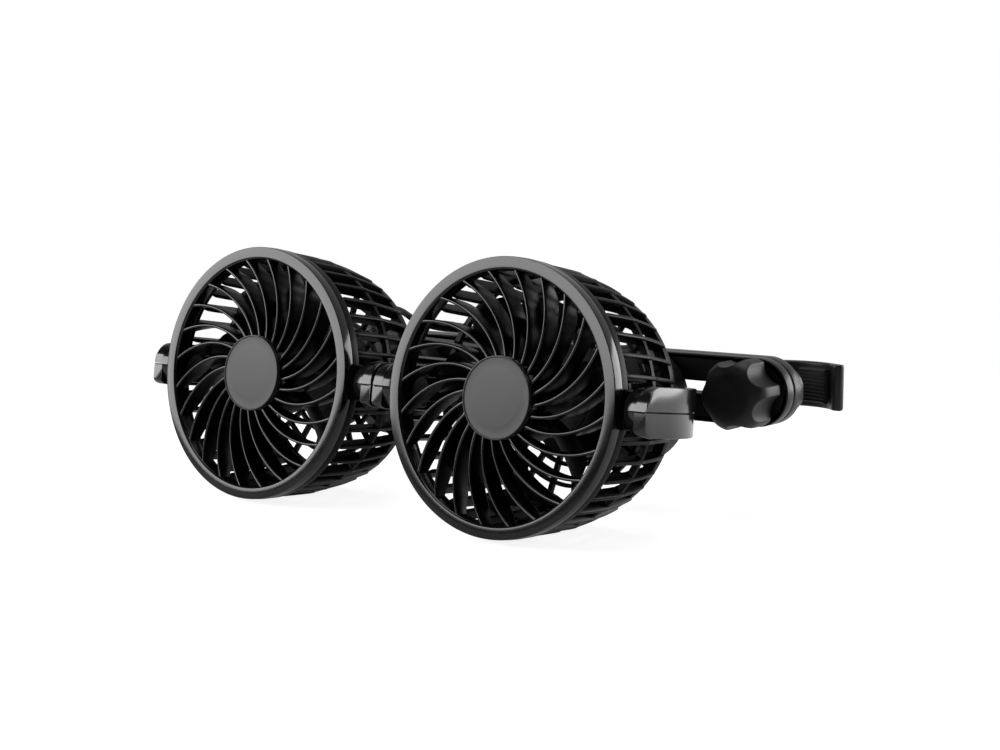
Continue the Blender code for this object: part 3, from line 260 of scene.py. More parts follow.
bar_low, bar_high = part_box("clamp_bar_front")
LEVEL = Matrix.Translation((0, bar_low.y - BAR_FRONT, (bar_low.z + bar_high.z) / 2 - BAR_CENTRE_HEIGHT))
PIVOTS = {joint["child"]: Vector(joint["pos_m"]) for joint in frame["joints"] if "pos_m" in joint}
UNITS = {side: Matrix.Translation(PIVOTS[side + "_head"]) @ Matrix.Rotation(-PITCH, 4, "X")
         @ Matrix.Translation((0, -PIVOT_DEPTH, 0)) for side in SIDES}


def along_x(radius, angle, place):
    """A point of a ring about the X axis."""
    return Vector((place, radius * math.cos(angle), radius * math.sin(angle)))


def along_y(radius, angle, place):
    """A point of a ring about the Y axis."""
    return Vector((radius * math.cos(angle), place, radius * math.sin(angle)))


def along_z(radius, angle, place):
    """A point of a ring about the Z axis."""
    return Vector((radius * math.cos(angle), radius * math.sin(angle), place))


def skin(shape, rings, closed_path=False, capped=True):
    """Join rings of equal length into a tube."""
    rows = [[shape.verts.new(point) for point in ring] for ring in rings]
    count = len(rows[0])
    spans = len(rows) if closed_path else len(rows) - 1
    for index in range(spans):
        first = rows[index]
        second = rows[(index + 1) % len(rows)]
        for corner in range(count):
            following = (corner + 1) % count
            shape.faces.new((first[corner], first[following], second[following], second[corner]))
    if capped and not closed_path:
        shape.faces.new(rows[0])
        shape.faces.new(rows[-1])


def eased(outline, radius, steps=3):
    """Round the corners of a closed outline, except those on the turning axis."""
    points = []
    for index, place in enumerate(outline):
        corner = Vector(place)
        if corner.x == 0:
            points.append(corner)
            continue
        before = Vector(outline[index - 1]) - corner
        after = Vector(outline[(index + 1) % len(outline)]) - corner
        start = corner + before.normalized() * min(radius, before.length * 0.45)
        end = corner + after.normalized() * min(radius, after.length * 0.45)
        for step in range(steps + 1):
            share = step / steps
            points.append(start * (1 - share) ** 2 + corner * 2 * share * (1 - share) + end * share ** 2)
    return points


def turn(shape, outline, steps=64, axis=along_y):
    """Turn (radius, place) points; an outline that starts on the axis makes a solid."""
    angles = [math.tau * step / steps for step in range(steps)]
    rings = [[axis(radius, angle, place) for angle in angles] for radius, place in outline]
    skin(shape, rings, closed_path=outline[0][0] != 0, capped=False)


def sleeve(bore, radius, start, end):
    """A bored cylinder's outline."""
    return ((bore, start), (radius, start), (radius, end), (bore, end))


def smooth_line(points, steps):
    """A smooth curve through points, as vectors."""
    points = [Vector(point) for point in points]
    padded = [2 * points[0] - points[1]] + points + [2 * points[-1] - points[-2]]
    line = []
    for index in range(len(points) - 1):
        before, start, end, after = padded[index:index + 4]
        for step in range(steps):
            share = step / steps
            line.append(0.5 * (2 * start + (end - before) * share
                               + (2 * before - 5 * start + 4 * end - after) * share ** 2
                               + (3 * start - before - 3 * end + after) * share ** 3))
    return line + [points[-1]]


def close_shape(name, shape):
    """Merge, face outwards and keep a bmesh as a mesh."""
    bmesh.ops.remove_doubles(shape, verts=shape.verts, dist=0.000002)
    bmesh.ops.recalc_face_normals(shape, faces=shape.faces)
    mesh = bpy.data.meshes.new(name)
    shape.to_mesh(mesh)
    shape.free()
    return mesh


def add_object(name, data):
    """An object for a mesh, curve, lamp or camera, in the scene."""
    item = bpy.data.objects.new(name, data)
    bpy.context.scene.collection.objects.link(item)
    return item


def add_piece(name, mesh, place, finish, sharp=30):
    """A finished piece: its mesh in its place, smoothed and painted."""
    mesh.transform(place)
    mesh.shade_smooth()
    mesh.set_sharp_from_angle(angle=math.radians(sharp))
    mesh.materials.clear()
    mesh.materials.append(finish)
    return add_object(name, mesh)


def shade_flat(mesh, axis):
    """Keep the faces square to an axis flat beside their eased rims."""
    kinds = {}
    for face in mesh.polygons:
        for key in face.edge_keys:
            kinds.setdefault(key, set()).add(abs(face.normal.dot(axis)) > 0.9999)
    for edge in mesh.edges:
        if len(kinds[edge.key]) == 2:
            edge.use_edge_sharp = True


def turned_piece(name, outlines, place, finish, easing=0.0003, steps=64, axis=along_y):
    """Turned parts of one piece, each from a (radius, place) outline with eased corners."""
    shape = bmesh.new()
    for outline in outlines:
        turn(shape, eased(outline, easing), steps, axis)
    return add_piece(name, close_shape(name, shape), place, finish)


def eased_block(shape, low, high, easing):
    """A block between two corners with eased edges."""
    made = bmesh.ops.create_cube(shape, size=1)["verts"]
    low, high = Vector(low), Vector(high)
    for corner in made:
        corner.co = Vector([low[i] + (high[i] - low[i]) * (corner.co[i] + 0.5) for i in range(3)])
    edges = {edge for corner in made for edge in corner.link_edges}
    bmesh.ops.bevel(shape, geom=list(edges), offset=easing, segments=3, affect="EDGES", profile=0.5)


def plate(name, outlines, thickness, easing):
    """A flat plate with holes and eased rims, centred on the XY plane; holes run clockwise."""
    curve = bpy.data.curves.new(name, "CURVE")
    curve.dimensions = "2D"
    curve.fill_mode = "BOTH"
    curve.extrude = thickness / 2 - easing
    curve.bevel_depth = easing
    curve.bevel_resolution = 2
    curve.offset = -easing
    for outline in outlines:
        spline = curve.splines.new("POLY")
        spline.points.add(len(outline) - 1)
        for point, (x, y) in zip(spline.points, outline):
            point.co = (x, y, 0, 1)
        spline.use_cyclic_u = True
    holder = add_object(name + "_outline", curve)
    graph = bpy.context.evaluated_depsgraph_get()
    mesh = bpy.data.meshes.new_from_object(holder.evaluated_get(graph))
    bpy.data.objects.remove(holder)
    return mesh


def stadium(left, right, half, steps=24):
    """A round-ended outline about the X axis, anticlockwise."""
    points = []
    for centre, start in ((right - half, -math.pi / 2), (left + half, math.pi / 2)):
        for step in range(steps + 1):
            angle = start + math.pi * step / steps
            points.append((centre + half * math.cos(angle), half * math.sin(angle)))
    return points


def cut(mesh, tool):
    """One mesh less another, as a new mesh."""
    item = add_object("blank", mesh)
    cutter = add_object("cutter", tool)
    modifier = item.modifiers.new("cut", "BOOLEAN")
    modifier.object = cutter
    modifier.solver = "EXACT"
    graph = bpy.context.evaluated_depsgraph_get()
    result = bpy.data.meshes.new_from_object(item.evaluated_get(graph))
    bpy.data.objects.remove(item)
    bpy.data.objects.remove(cutter)
    return result


def node(tree, kind, inputs=None, **settings):
    """A node with its settings, and its inputs linked or set."""
    made = tree.nodes.new(kind)
    for key, value in settings.items():
        setattr(made, key, value)
    for key, value in (inputs or {}).items():
        if isinstance(value, bpy.types.NodeSocket):
            tree.links.new(value, made.inputs[key])
        else:
            made.inputs[key].default_value = value
    return made


def maths(tree, operation, *values):
    """The result of a Math node on sockets or numbers."""
    return node(tree, "ShaderNodeMath", dict(enumerate(values)), operation=operation).outputs[0]


def new_tree(name, kind, inputs, outputs):
    """An empty node group with named sockets: (tree, its input sockets, its end node)."""
    kinds = {"geometry": "NodeSocketGeometry", "number": "NodeSocketFloat", "count": "NodeSocketInt",
             "vector": "NodeSocketVector", "material": "NodeSocketMaterial", "colour": "NodeSocketColor"}
    tree = bpy.data.node_groups.new(name, kind)
    for label, socket in inputs.items():
        tree.interface.new_socket(label, in_out="INPUT", socket_type=kinds[socket])
    for label, socket in outputs.items():
        tree.interface.new_socket(label, in_out="OUTPUT", socket_type=kinds[socket])
    return tree, tree.nodes.new("NodeGroupInput").outputs, tree.nodes.new("NodeGroupOutput")


def finish_tree(tree, geometry, finish, end):
    """End a geometry tree: real geometry with its finish."""
    solid = node(tree, "GeometryNodeRealizeInstances", {"Geometry": geometry}).outputs[0]
    painted = node(tree, "GeometryNodeSetMaterial", {"Geometry": solid, "Material": finish})
    tree.links.new(painted.outputs[0], end.inputs["Pieces"])


def set_out(tree, piece, count, spacing, turn_by):
    """Instances of a piece, each moved and turned a step further than the last."""
    line = node(tree, "GeometryNodeMeshLine", {"Count": count, "Offset": spacing}).outputs[0]
    index = node(tree, "GeometryNodeInputIndex").outputs[0]
    angles = node(tree, "ShaderNodeVectorMath", {0: turn_by, "Scale": index}, operation="SCALE").outputs[0]
    spin = node(tree, "FunctionNodeEulerToRotation", {0: angles}).outputs[0]
    return node(tree, "GeometryNodeInstanceOnPoints",
                {"Points": line, "Instance": piece, "Rotation": spin}).outputs[0]


def repeat_tree():
    """Copies of one made piece, in a row or round an axis."""
    tree, sizes, end = new_tree("repeated_piece", "GeometryNodeTree", {
        "Piece": "geometry", "Count": "count", "Spacing": "vector", "Turn": "vector",
        "Finish": "material"}, {"Pieces": "geometry"})
    placed = set_out(tree, sizes["Piece"], sizes["Count"], sizes["Spacing"], sizes["Turn"])
    finish_tree(tree, placed, sizes["Finish"], end)
    return tree


def swirl_tree():
    """The guard's swirled ribs about the Y axis, from their sizes alone."""
    tree, sizes, end = new_tree("swirled_ribs", "GeometryNodeTree", {
        "Blank": "geometry", "Rib count": "count", "Inner radius": "number", "Outer radius": "number",
        "Twist": "number", "Phase": "number", "Thickness": "number", "Front": "number", "Back": "number",
        "Back at hub": "number", "Back at ring": "number", "Deep from": "number", "Deep to": "number",
        "Steps": "count", "Finish": "material"}, {"Pieces": "geometry"})
    line = node(tree, "GeometryNodeCurvePrimitiveLine", {"End": (1, 0, 0)}).outputs[0]
    path = node(tree, "GeometryNodeResampleCurve", {"Curve": line, "Count": sizes["Steps"]}).outputs[0]
    share = node(tree, "GeometryNodeSplineParameter").outputs["Factor"]
    span = maths(tree, "SUBTRACT", sizes["Outer radius"], sizes["Inner radius"])
    radius = maths(tree, "MULTIPLY_ADD", span, share, sizes["Inner radius"])
    angle = maths(tree, "MULTIPLY_ADD", sizes["Twist"], share, sizes["Phase"])
    place = node(tree, "ShaderNodeCombineXYZ", {
        "X": maths(tree, "MULTIPLY", radius, maths(tree, "COSINE", angle)),
        "Y": maths(tree, "MULTIPLY", radius, maths(tree, "SINE", angle))}).outputs[0]
    swirl = node(tree, "GeometryNodeSetPosition", {"Geometry": path, "Position": place}).outputs[0]
    upright = node(tree, "GeometryNodeSetCurveNormal", {"Curve": swirl}, mode="Z_UP").outputs[0]
    depth = maths(tree, "SUBTRACT", sizes["Back"], sizes["Front"])
    section = node(tree, "GeometryNodeCurvePrimitiveQuadrilateral",
                   {"Width": sizes["Thickness"], "Height": depth}).outputs[0]
    rounding = maths(tree, "MULTIPLY", sizes["Thickness"], 0.45)
    edged = node(tree, "GeometryNodeFilletCurve", {"Curve": section, "Radius": rounding, "Count": 3},
                 mode="POLY").outputs[0]
    rib = node(tree, "GeometryNodeCurveToMesh",
               {"Curve": upright, "Profile Curve": edged, "Fill Caps": True}).outputs[0]
    here = node(tree, "ShaderNodeSeparateXYZ",
                {0: node(tree, "GeometryNodeInputPosition").outputs[0]}).outputs
    flat = node(tree, "ShaderNodeCombineXYZ", {"X": here["X"], "Y": here["Y"]}).outputs[0]
    distance = node(tree, "ShaderNodeVectorMath", {0: flat}, operation="LENGTH").outputs["Value"]
    rise = node(tree, "ShaderNodeMapRange", {
        "Value": distance, "From Min": sizes["Inner radius"], "From Max": sizes["Deep from"],
        "To Min": sizes["Back at hub"], "To Max": sizes["Back"]}).outputs[0]
    fall = node(tree, "ShaderNodeMapRange", {
        "Value": distance, "From Min": sizes["Deep to"], "From Max": sizes["Outer radius"],
        "To Min": sizes["Back"], "To Max": sizes["Back at ring"]}).outputs[0]
    back = maths(tree, "MINIMUM", rise, fall)
    through = maths(tree, "ADD", maths(tree, "DIVIDE", here["Z"], depth), 0.5)
    height = maths(tree, "MULTIPLY_ADD", through, maths(tree, "SUBTRACT", back, sizes["Front"]),
                   sizes["Front"])
    laid = node(tree, "ShaderNodeCombineXYZ", {"X": here["X"], "Y": height, "Z": here["Y"]}).outputs[0]
    shaped = node(tree, "GeometryNodeSetPosition", {"Geometry": rib, "Position": laid}).outputs[0]
    outward = node(tree, "GeometryNodeFlipFaces", {"Mesh": shaped}).outputs[0]
    step = node(tree, "ShaderNodeCombineXYZ",
                {"Y": maths(tree, "DIVIDE", math.tau, sizes["Rib count"])}).outputs[0]
    placed = set_out(tree, outward, sizes["Rib count"], (0, 0, 0), step)
    finish_tree(tree, placed, sizes["Finish"], end)
    return tree


def lead_tree():
    """A round lead along a line of points, with closed ends."""
    tree, sizes, end = new_tree("round_lead", "GeometryNodeTree", {
        "Route": "geometry", "Radius": "number", "Spacing": "number", "Finish": "material"},
        {"Pieces": "geometry"})
    curve = node(tree, "GeometryNodeMeshToCurve", {"Mesh": sizes["Route"]}).outputs[0]
    path = node(tree, "GeometryNodeResampleCurve", {"Curve": curve, "Length": sizes["Spacing"]},
                mode="LENGTH").outputs[0]
    ring = node(tree, "GeometryNodeCurvePrimitiveCircle",
                {"Resolution": 20, "Radius": sizes["Radius"]}).outputs[0]
    tube = node(tree, "GeometryNodeCurveToMesh",
                {"Curve": path, "Profile Curve": ring, "Fill Caps": True}).outputs[0]
    finish_tree(tree, tube, sizes["Finish"], end)
    return tree


def grow(name, source, tree, place, finish, sizes, sharp=30):
    """Run a tree on a mesh and keep the result as a plain piece in its place."""
    item = add_object(name + "_source", source)
    modifier = item.modifiers.new(tree.name, "NODES")
    modifier.node_group = tree
    for socket in tree.interface.items_tree:
        if socket.in_out == "INPUT" and socket.name in sizes:
            modifier[socket.identifier] = sizes[socket.name]
        if socket.name == "Finish":
            modifier[socket.identifier] = finish
    graph = bpy.context.evaluated_depsgraph_get()
    mesh = bpy.data.meshes.new_from_object(item.evaluated_get(graph))
    bpy.data.objects.remove(item)
    return add_piece(name, mesh, place, finish, sharp)


def settle(item, body, slot, *nodes):
    """Hand a finished piece to its body and hide the nodes it stands for; its finish slot is not used."""
    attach(item, body)
    if nodes:
        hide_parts(*nodes)


def skin_group():
    """Moulded plastic: soft tone changes, a fine grain and uneven gloss."""
    tree, ins, end = new_tree("moulded_skin", "ShaderNodeTree", {
        "Colour": "colour", "Tone change": "number", "Grain scale": "number", "Roughness": "number",
        "Gloss change": "number"}, {"Colour": "colour", "Roughness": "number", "Height": "number"})
    place = node(tree, "ShaderNodeTexCoord").outputs["Object"]
    cloud = node(tree, "ShaderNodeTexNoise", {"Vector": place, "Scale": 28, "Detail": 4}).outputs[0]
    grain = node(tree, "ShaderNodeTexNoise",
                 {"Vector": place, "Scale": ins["Grain scale"], "Detail": 2}).outputs[0]
    offset = maths(tree, "SUBTRACT", cloud, 0.5)
    tone = maths(tree, "MULTIPLY_ADD", offset, ins["Tone change"], 1)
    colour = node(tree, "ShaderNodeVectorMath", {0: ins["Colour"], "Scale": tone},
                  operation="SCALE").outputs[0]
    mixed = maths(tree, "MULTIPLY_ADD", maths(tree, "SUBTRACT", grain, 0.5), 0.5, offset)
    gloss = maths(tree, "MULTIPLY_ADD", mixed, ins["Gloss change"], ins["Roughness"])
    tree.links.new(colour, end.inputs["Colour"])
    tree.links.new(gloss, end.inputs["Roughness"])
    tree.links.new(grain, end.inputs["Height"])
    return tree


def marks_group():
    """Faint handling marks: soft smudges crossed by short hairlines."""
    tree, ins, end = new_tree("handling_marks", "ShaderNodeTree", {
        "Smudge scale": "number", "Hairline scale": "number", "Amount": "number"}, {"Mask": "number"})
    place = node(tree, "ShaderNodeTexCoord").outputs["Object"]
    smudge = node(tree, "ShaderNodeTexNoise",
                  {"Vector": place, "Scale": ins["Smudge scale"], "Detail": 5, "Roughness": 0.6}).outputs[0]
    patch = node(tree, "ShaderNodeMapRange",
                 {"Value": smudge, "From Min": 0.52, "From Max": 0.72}).outputs[0]
    stretched = node(tree, "ShaderNodeMapping", {"Vector": place, "Rotation": (0.4, 0.9, 0.3),
                                                 "Scale": (1, 0.04, 1)}).outputs[0]
    hair = node(tree, "ShaderNodeTexNoise",
                {"Vector": stretched, "Scale": ins["Hairline scale"], "Detail": 1}).outputs[0]
    line = node(tree, "ShaderNodeMapRange", {"Value": hair, "From Min": 0.66, "From Max": 0.72}).outputs[0]
    both = maths(tree, "MULTIPLY_ADD", line, 0.5, patch)
    tree.links.new(maths(tree, "MULTIPLY", both, ins["Amount"]), end.inputs["Mask"])
    return tree


def lathe_group():
    """Turned steel: fine rings along the Y direction and a cloudy plating."""
    tree, ins, end = new_tree("turned_marks", "ShaderNodeTree", {
        "Ring scale": "number", "Roughness": "number"}, {"Roughness": "number", "Height": "number"})
    place = node(tree, "ShaderNodeTexCoord").outputs["Object"]
    squeezed = node(tree, "ShaderNodeMapping", {"Vector": place, "Scale": (0.2, 1, 0.2)}).outputs[0]
    rings = node(tree, "ShaderNodeTexNoise",
                 {"Vector": squeezed, "Scale": ins["Ring scale"], "Detail": 2}).outputs[0]
    rough = maths(tree, "MULTIPLY_ADD", maths(tree, "SUBTRACT", rings, 0.5), 0.3, ins["Roughness"])
    tree.links.new(rough, end.inputs["Roughness"])
    tree.links.new(rings, end.inputs["Height"])
    return tree


def new_material(name):
    """A material with its tree and its Principled surface."""
    material = bpy.data.materials.new(name)
    material.use_nodes = True
    return material, material.node_tree, material.node_tree.nodes["Principled BSDF"]


def use_group(tree, group, values):
    """A placed node group with its own values, as output sockets."""
    return node(tree, "ShaderNodeGroup", values, node_tree=group).outputs


def mix_colour(tree, share, first, second):
    """A colour between two others."""
    mixer = node(tree, "ShaderNodeMix", data_type="RGBA")
    tree.links.new(share, mixer.inputs[0])
    tree.links.new(first, mixer.inputs[6])
    mixer.inputs[7].default_value = second
    return mixer.outputs[2]


def relief(tree, surface, height, strength):
    """Fine relief on a surface from a height."""
    bump = node(tree, "ShaderNodeBump",
                {"Height": height, "Strength": strength, "Distance": RELIEF_DISTANCE})
    tree.links.new(bump.outputs[0], surface.inputs["Normal"])


def plastic(groups, name, colour, roughness, grain, depth, marks, shine):
    """Moulded plastic or rubber with its grain and handling marks."""
    material, tree, surface = new_material(name)
    base = use_group(tree, groups["skin"], {
        "Colour": (*colour, 1), "Tone change": 0.6, "Grain scale": grain, "Roughness": roughness,
        "Gloss change": roughness * 0.3})
    mask = use_group(tree, groups["marks"], {
        "Smudge scale": 60, "Hairline scale": 900, "Amount": marks})["Mask"]
    worn = mix_colour(tree, mask, base["Colour"], MOULDING_WEAR)
    tree.links.new(worn, surface.inputs["Base Color"])
    tree.links.new(maths(tree, "MULTIPLY_ADD", mask, 0.35, base["Roughness"]), surface.inputs["Roughness"])
    surface.inputs["Specular IOR Level"].default_value = shine
    relief(tree, surface, base["Height"], depth)
    return material


def steel(groups, name, colour, roughness, rings):
    """Plated or turned steel."""
    material, tree, surface = new_material(name)
    marks = use_group(tree, groups["lathe"], {"Ring scale": rings, "Roughness": roughness})
    mask = use_group(tree, groups["marks"], {
        "Smudge scale": 90, "Hairline scale": 1200, "Amount": 0.2})["Mask"]
    tint = use_group(tree, groups["skin"], {
        "Colour": (*colour, 1), "Tone change": 0.3, "Grain scale": 800, "Roughness": roughness,
        "Gloss change": 0.1})["Colour"]
    tree.links.new(mix_colour(tree, mask, tint, STEEL_WEAR), surface.inputs["Base Color"])
    surface.inputs["Metallic"].default_value = 1
    tree.links.new(marks["Roughness"], surface.inputs["Roughness"])
    relief(tree, surface, marks["Height"], 0.2)
    return material


def make_finishes():
    """The finishes that the pieces share."""
    groups = {"skin": skin_group(), "marks": marks_group(), "lathe": lathe_group()}
    finishes = {key: plastic(groups, *look) for key, look in MOULDINGS.items()}
    finishes.update({key: steel(groups, *look) for key, look in STEELS.items()})
    return finishes


def guard_face(side, unit, finishes, trees):
    """Bezel ring, swirled ribs and centre boss of the front guard."""
    ring = ((RING_BORE, RIB_BACK_AT_RING), (RING_BORE, 0.0010), (RING_BORE + 0.0008, 0),
            (RING_RADIUS - 0.0001, 0), (RING_RADIUS, RING_DEPTH), (RING_BORE + RING_LIP, RING_DEPTH),
            (RING_BORE + RING_LIP, RIB_BACK_AT_RING))
    bezel = turned_piece(side + "_bezel_ring", [ring], unit, finishes["gloss"], 0.0004, 160)
    settle(bezel, side + "_head", "gloss_black", side + "_front_grille")
    sizes = {"Rib count": RIB_COUNT, "Inner radius": BOSS_RADIUS - RIB_INTO_BOSS,
             "Outer radius": RING_BORE + RIB_INTO_RING, "Twist": RIB_TWIST, "Phase": RIB_PHASE,
             "Thickness": RIB_THICKNESS, "Front": RIB_FRONT, "Back": RIB_BACK,
             "Back at hub": RIB_BACK_AT_HUB, "Back at ring": RIB_BACK_AT_RING,
             "Deep from": RIB_DEEP_SPAN[0], "Deep to": RIB_DEEP_SPAN[1], "Steps": 30}
    blank = bpy.data.meshes.new("blank")
    ribs = grow(side + "_guard_ribs", blank, trees["swirl"], unit, finishes["ribs"], sizes, 40)
    ribs.data.materials.append(finishes["rib_sides"])
    front = unit.to_3x3() @ Vector((0, -1, 0))
    for face in ribs.data.polygons:
        face.material_index = int(face.normal.dot(front) < RIB_FRONT_FACING)
    settle(ribs, side + "_head", "gloss_black", side + "_front_grille")
    boss = ((0, BOSS_FRONT), (BOSS_RADIUS, BOSS_FRONT), (BOSS_RADIUS, BOSS_BACK - 0.0008),
            (BOSS_RADIUS - 0.001, BOSS_BACK), (0, BOSS_BACK))
    centre = turned_piece(side + "_guard_boss", [boss], unit, finishes["ribs"])
    settle(centre, side + "_head", "gloss_black", side + "_front_grille")


def badge_cap(side, unit, finishes):
    """Bare grey centre cap, slightly domed inside a fine raised rim."""
    dome = [(0, -0.00085), (0.006, -0.00082), (0.012, -0.00072), (BADGE_RADIUS - 0.0007, -0.0005)]
    rim = [(BADGE_RADIUS - 0.0005, -0.001), (BADGE_RADIUS, -0.0009), (BADGE_RADIUS, BADGE_BACK),
           (0, BADGE_BACK)]
    cap = turned_piece(side + "_centre_cap", [dome + rim], unit, finishes["badge"], 0.00015, 96)
    settle(cap, side + "_head", "badge_grey", side + "_grille_badge")


def fin_radius(depth):
    """Outer radius of the side fins at a depth."""
    for (start, first), (end, second) in zip(FIN_LINE, FIN_LINE[1:]):
        if depth <= end:
            return first + (second - first) * (depth - start) / (end - start)
    return FIN_LINE[-1][1]


def side_fin():
    """One fin along the cage's wall, with a rounded outer edge and ends."""
    shape = bmesh.new()
    half = FIN_THICKNESS / 2
    line = smooth_line(FIN_LINE, 4)
    edge = 0.0006
    rings = []
    for index, (depth, radius) in enumerate(line):
        inset = 0.0004 if index in (0, len(line) - 1) else 0
        belly = math.sin(math.pi * index / (len(line) - 1)) ** 0.5
        low = radius - FIN_WALL - (FIN_WALL_MIDDLE - FIN_WALL) * belly + inset
        high = radius - inset
        wide = half - inset
        section = ((low, -wide), (high - edge, -wide), (high - edge * 0.3, -wide * 0.8), (high, -wide * 0.35),
                   (high, wide * 0.35), (high - edge * 0.3, wide * 0.8), (high - edge, wide), (low, wide))
        rings.append([Vector((out, depth, across)) for out, across in section])
    skin(shape, rings)
    return close_shape("fin", shape)


def flared_hoop(shape, depth, width, flare):
    """A hoop whose edges flare where it meets each fin."""
    steps = FIN_COUNT * 12
    easing = 0.0004
    rings = []
    for step in range(steps):
        angle = math.tau * step / steps
        nearness = abs(((angle / FIN_PITCH) % 1) - 0.5) * 2
        swell = flare * max(0, (0.5 - min(nearness, 1)) / 0.5) ** 1.5
        start, end = depth - swell, depth + width + swell
        outer = fin_radius(depth + width / 2) - FIN_PROUD
        inner = outer - FIN_WALL + FIN_PROUD
        section = ((outer - easing, start), (outer, start + easing), (outer, end - easing),
                   (outer - easing, end), (inner + easing, end), (inner, end - easing),
                   (inner, start + easing), (inner + easing, start))
        rings.append([along_y(radius, angle, place) for radius, place in section])
    skin(shape, rings, closed_path=True)


def cage(side, unit, finishes, trees):
    """Flange, side fins, hoops and rear guard."""
    body = side + "_head"
    start = RING_DEPTH + GAP
    flange = ((FLANGE_BORE, start), (FLANGE_RADIUS, start), (FLANGE_RADIUS, FLANGE_BACK - 0.0009),
              (FLANGE_RADIUS - 0.0006, FLANGE_BACK), (FLANGE_BORE, FLANGE_BACK))
    rear = CAGE_BACK - REAR_WALL
    tail = ((0.0473, 0.0523), (0.0507, 0.0518), (0.0500, 0.0562), (0.0490, CAGE_BACK),
            (REAR_RIM, CAGE_BACK), (REAR_RIM, rear), (0.0465, rear))
    hoops = [sleeve(radius - REAR_HOOP_HALF_WIDTH, radius + REAR_HOOP_HALF_WIDTH, rear + 0.0002,
                    CAGE_BACK - 0.0005) for radius in REAR_HOOPS]
    motor_plate = sleeve(PLATE_BORE, PLATE_RADIUS, rear, CAGE_BACK)
    shape = bmesh.new()
    for outline in [flange, tail, *hoops, motor_plate]:
        turn(shape, eased(outline, 0.0004), 160)
    flared_hoop(shape, MID_HOOP_DEPTH, MID_HOOP_WIDTH, MID_HOOP_FLARE)
    for sign in SIDES.values():
        low, high = sorted(sign * place for place in TRUNNION_SPAN)
        eased_block(shape, (low, TRUNNION_DEPTHS[0], -TRUNNION_HALF_HEIGHT),
                    (high, TRUNNION_DEPTHS[1], TRUNNION_HALF_HEIGHT), 0.0009)
    shell = add_piece(side + "_cage_shell", close_shape("cage", shape), unit, finishes["cage"])
    settle(shell, body, "satin_black", side + "_rear_cage")
    around = {"Count": FIN_COUNT, "Turn": (0, FIN_PITCH, 0)}
    fin = side_fin()
    fin.transform(Matrix.Rotation(-FIN_PITCH / 2, 4, "Y"))
    fins = grow(side + "_cage_fins", fin, trees["repeat"], unit, finishes["cage"], around)
    settle(fins, body, "satin_black", side + "_rear_cage")
    shape = bmesh.new()
    eased_block(shape, (PLATE_RADIUS - 0.0006, rear + 0.0002, -0.001),
                (REAR_RIM + 0.001, CAGE_BACK - 0.0002, 0.001), 0.0003)
    bar = close_shape("bar", shape)
    bar.transform(Matrix.Rotation(-FIN_PITCH / 2, 4, "Y"))
    around = {"Count": REAR_BAR_COUNT, "Turn": (0, math.tau / REAR_BAR_COUNT, 0)}
    bars = grow(side + "_rear_bars", bar, trees["repeat"], unit, finishes["cage"], around)
    settle(bars, body, "satin_black", side + "_rear_cage")


def motor(side, unit, finishes):
    """Steel can and plastic end cap behind the impeller."""
    can = ((0, MOTOR_FRONT), (MOTOR_RADIUS, MOTOR_FRONT), (MOTOR_RADIUS, 0.0385),
           (MOTOR_RADIUS - 0.0005, 0.0389), (MOTOR_RADIUS - 0.0005, 0.0397), (MOTOR_RADIUS, 0.0401),
           (MOTOR_RADIUS, MOTOR_BACK), (0, MOTOR_BACK))
    steel_can = turned_piece(side + "_motor_shell", [can], unit, finishes["can"], 0.0006)
    settle(steel_can, side + "_head", "motor_steel", side + "_motor_can")
    cap = ((0.0132, MOTOR_BACK + GAP), (MOTOR_RADIUS, MOTOR_BACK + GAP), (MOTOR_RADIUS, CAP_BACK),
           (0.0117, CAP_BACK), (0.0117, 0.0570), (0.0102, 0.0574), (0.0030, 0.0574), (0.0030, 0.0515),
           (0.0132, 0.0515))
    moulded = turned_piece(side + "_motor_cap", [cap], unit, finishes["matte"], 0.0004)
    settle(moulded, side + "_head", "matte_black", side + "_motor_end_cap")


def impeller_blade():
    """One swept blade with rounded edges and tip."""
    shape = bmesh.new()
    root = HUB_RADIUS - 0.001
    rings = []
    chord = 8
    stations = [step / 12 for step in range(12)] + [0.96, 0.985, 1]
    for share in stations:
        radius = root + (BLADE_TIP_RADIUS - root) * share
        sweep = BLADE_SWEEPS[0] + (BLADE_SWEEPS[1] - BLADE_SWEEPS[0]) * share
        trim = 1 - 0.3 * max(0, (share - 0.85) / 0.15) ** 3
        ring = []
        for face in (1, -1):
            for step in range(chord + 1):
                along = (step / chord * 2 - 1) * face
                half = BLADE_THICKNESS / 2 * math.sqrt(max(0, 1 - abs(along) ** 4)) / radius
                angle = BLADE_PHASE - BLADE_LEAN * share - sweep * along * trim + half * face
                camber = BLADE_CAMBER * (1 - along ** 2)
                middle = (BLADE_FRONT + BLADE_BACK) / 2 - camber
                place = middle + (BLADE_BACK - BLADE_FRONT) / 2 * along * trim
                ring.append(along_y(radius, angle, place))
        rings.append(ring)
    skin(shape, rings)
    return close_shape("blade", shape)


def impeller(side, unit, finishes, trees):
    """Hub cup and blades."""
    hub = ((0.0018, HUB_FRONT + 0.0014), (0.0030, HUB_FRONT + 0.0004), (0.0162, HUB_FRONT),
           (0.0178, HUB_FRONT + 0.0006), (HUB_RADIUS, HUB_FRONT + 0.0024), (HUB_RADIUS, HUB_BACK),
           (0.0165, HUB_BACK), (0.0165, 0.0095), (0.0050, 0.0095), (0.0050, 0.0125), (0.0018, 0.0125))
    cup = turned_piece(side + "_impeller_hub", [hub], unit, finishes["blades"], 0.0006)
    settle(cup, side + "_rotor", "gloss_black", side + "_impeller")
    around = {"Count": BLADE_COUNT, "Turn": (0, math.tau / BLADE_COUNT, 0)}
    blades = grow(side + "_impeller_blades", impeller_blade(), trees["repeat"], unit, finishes["blades"],
                  around, 50)
    settle(blades, side + "_rotor", "gloss_black", side + "_impeller")


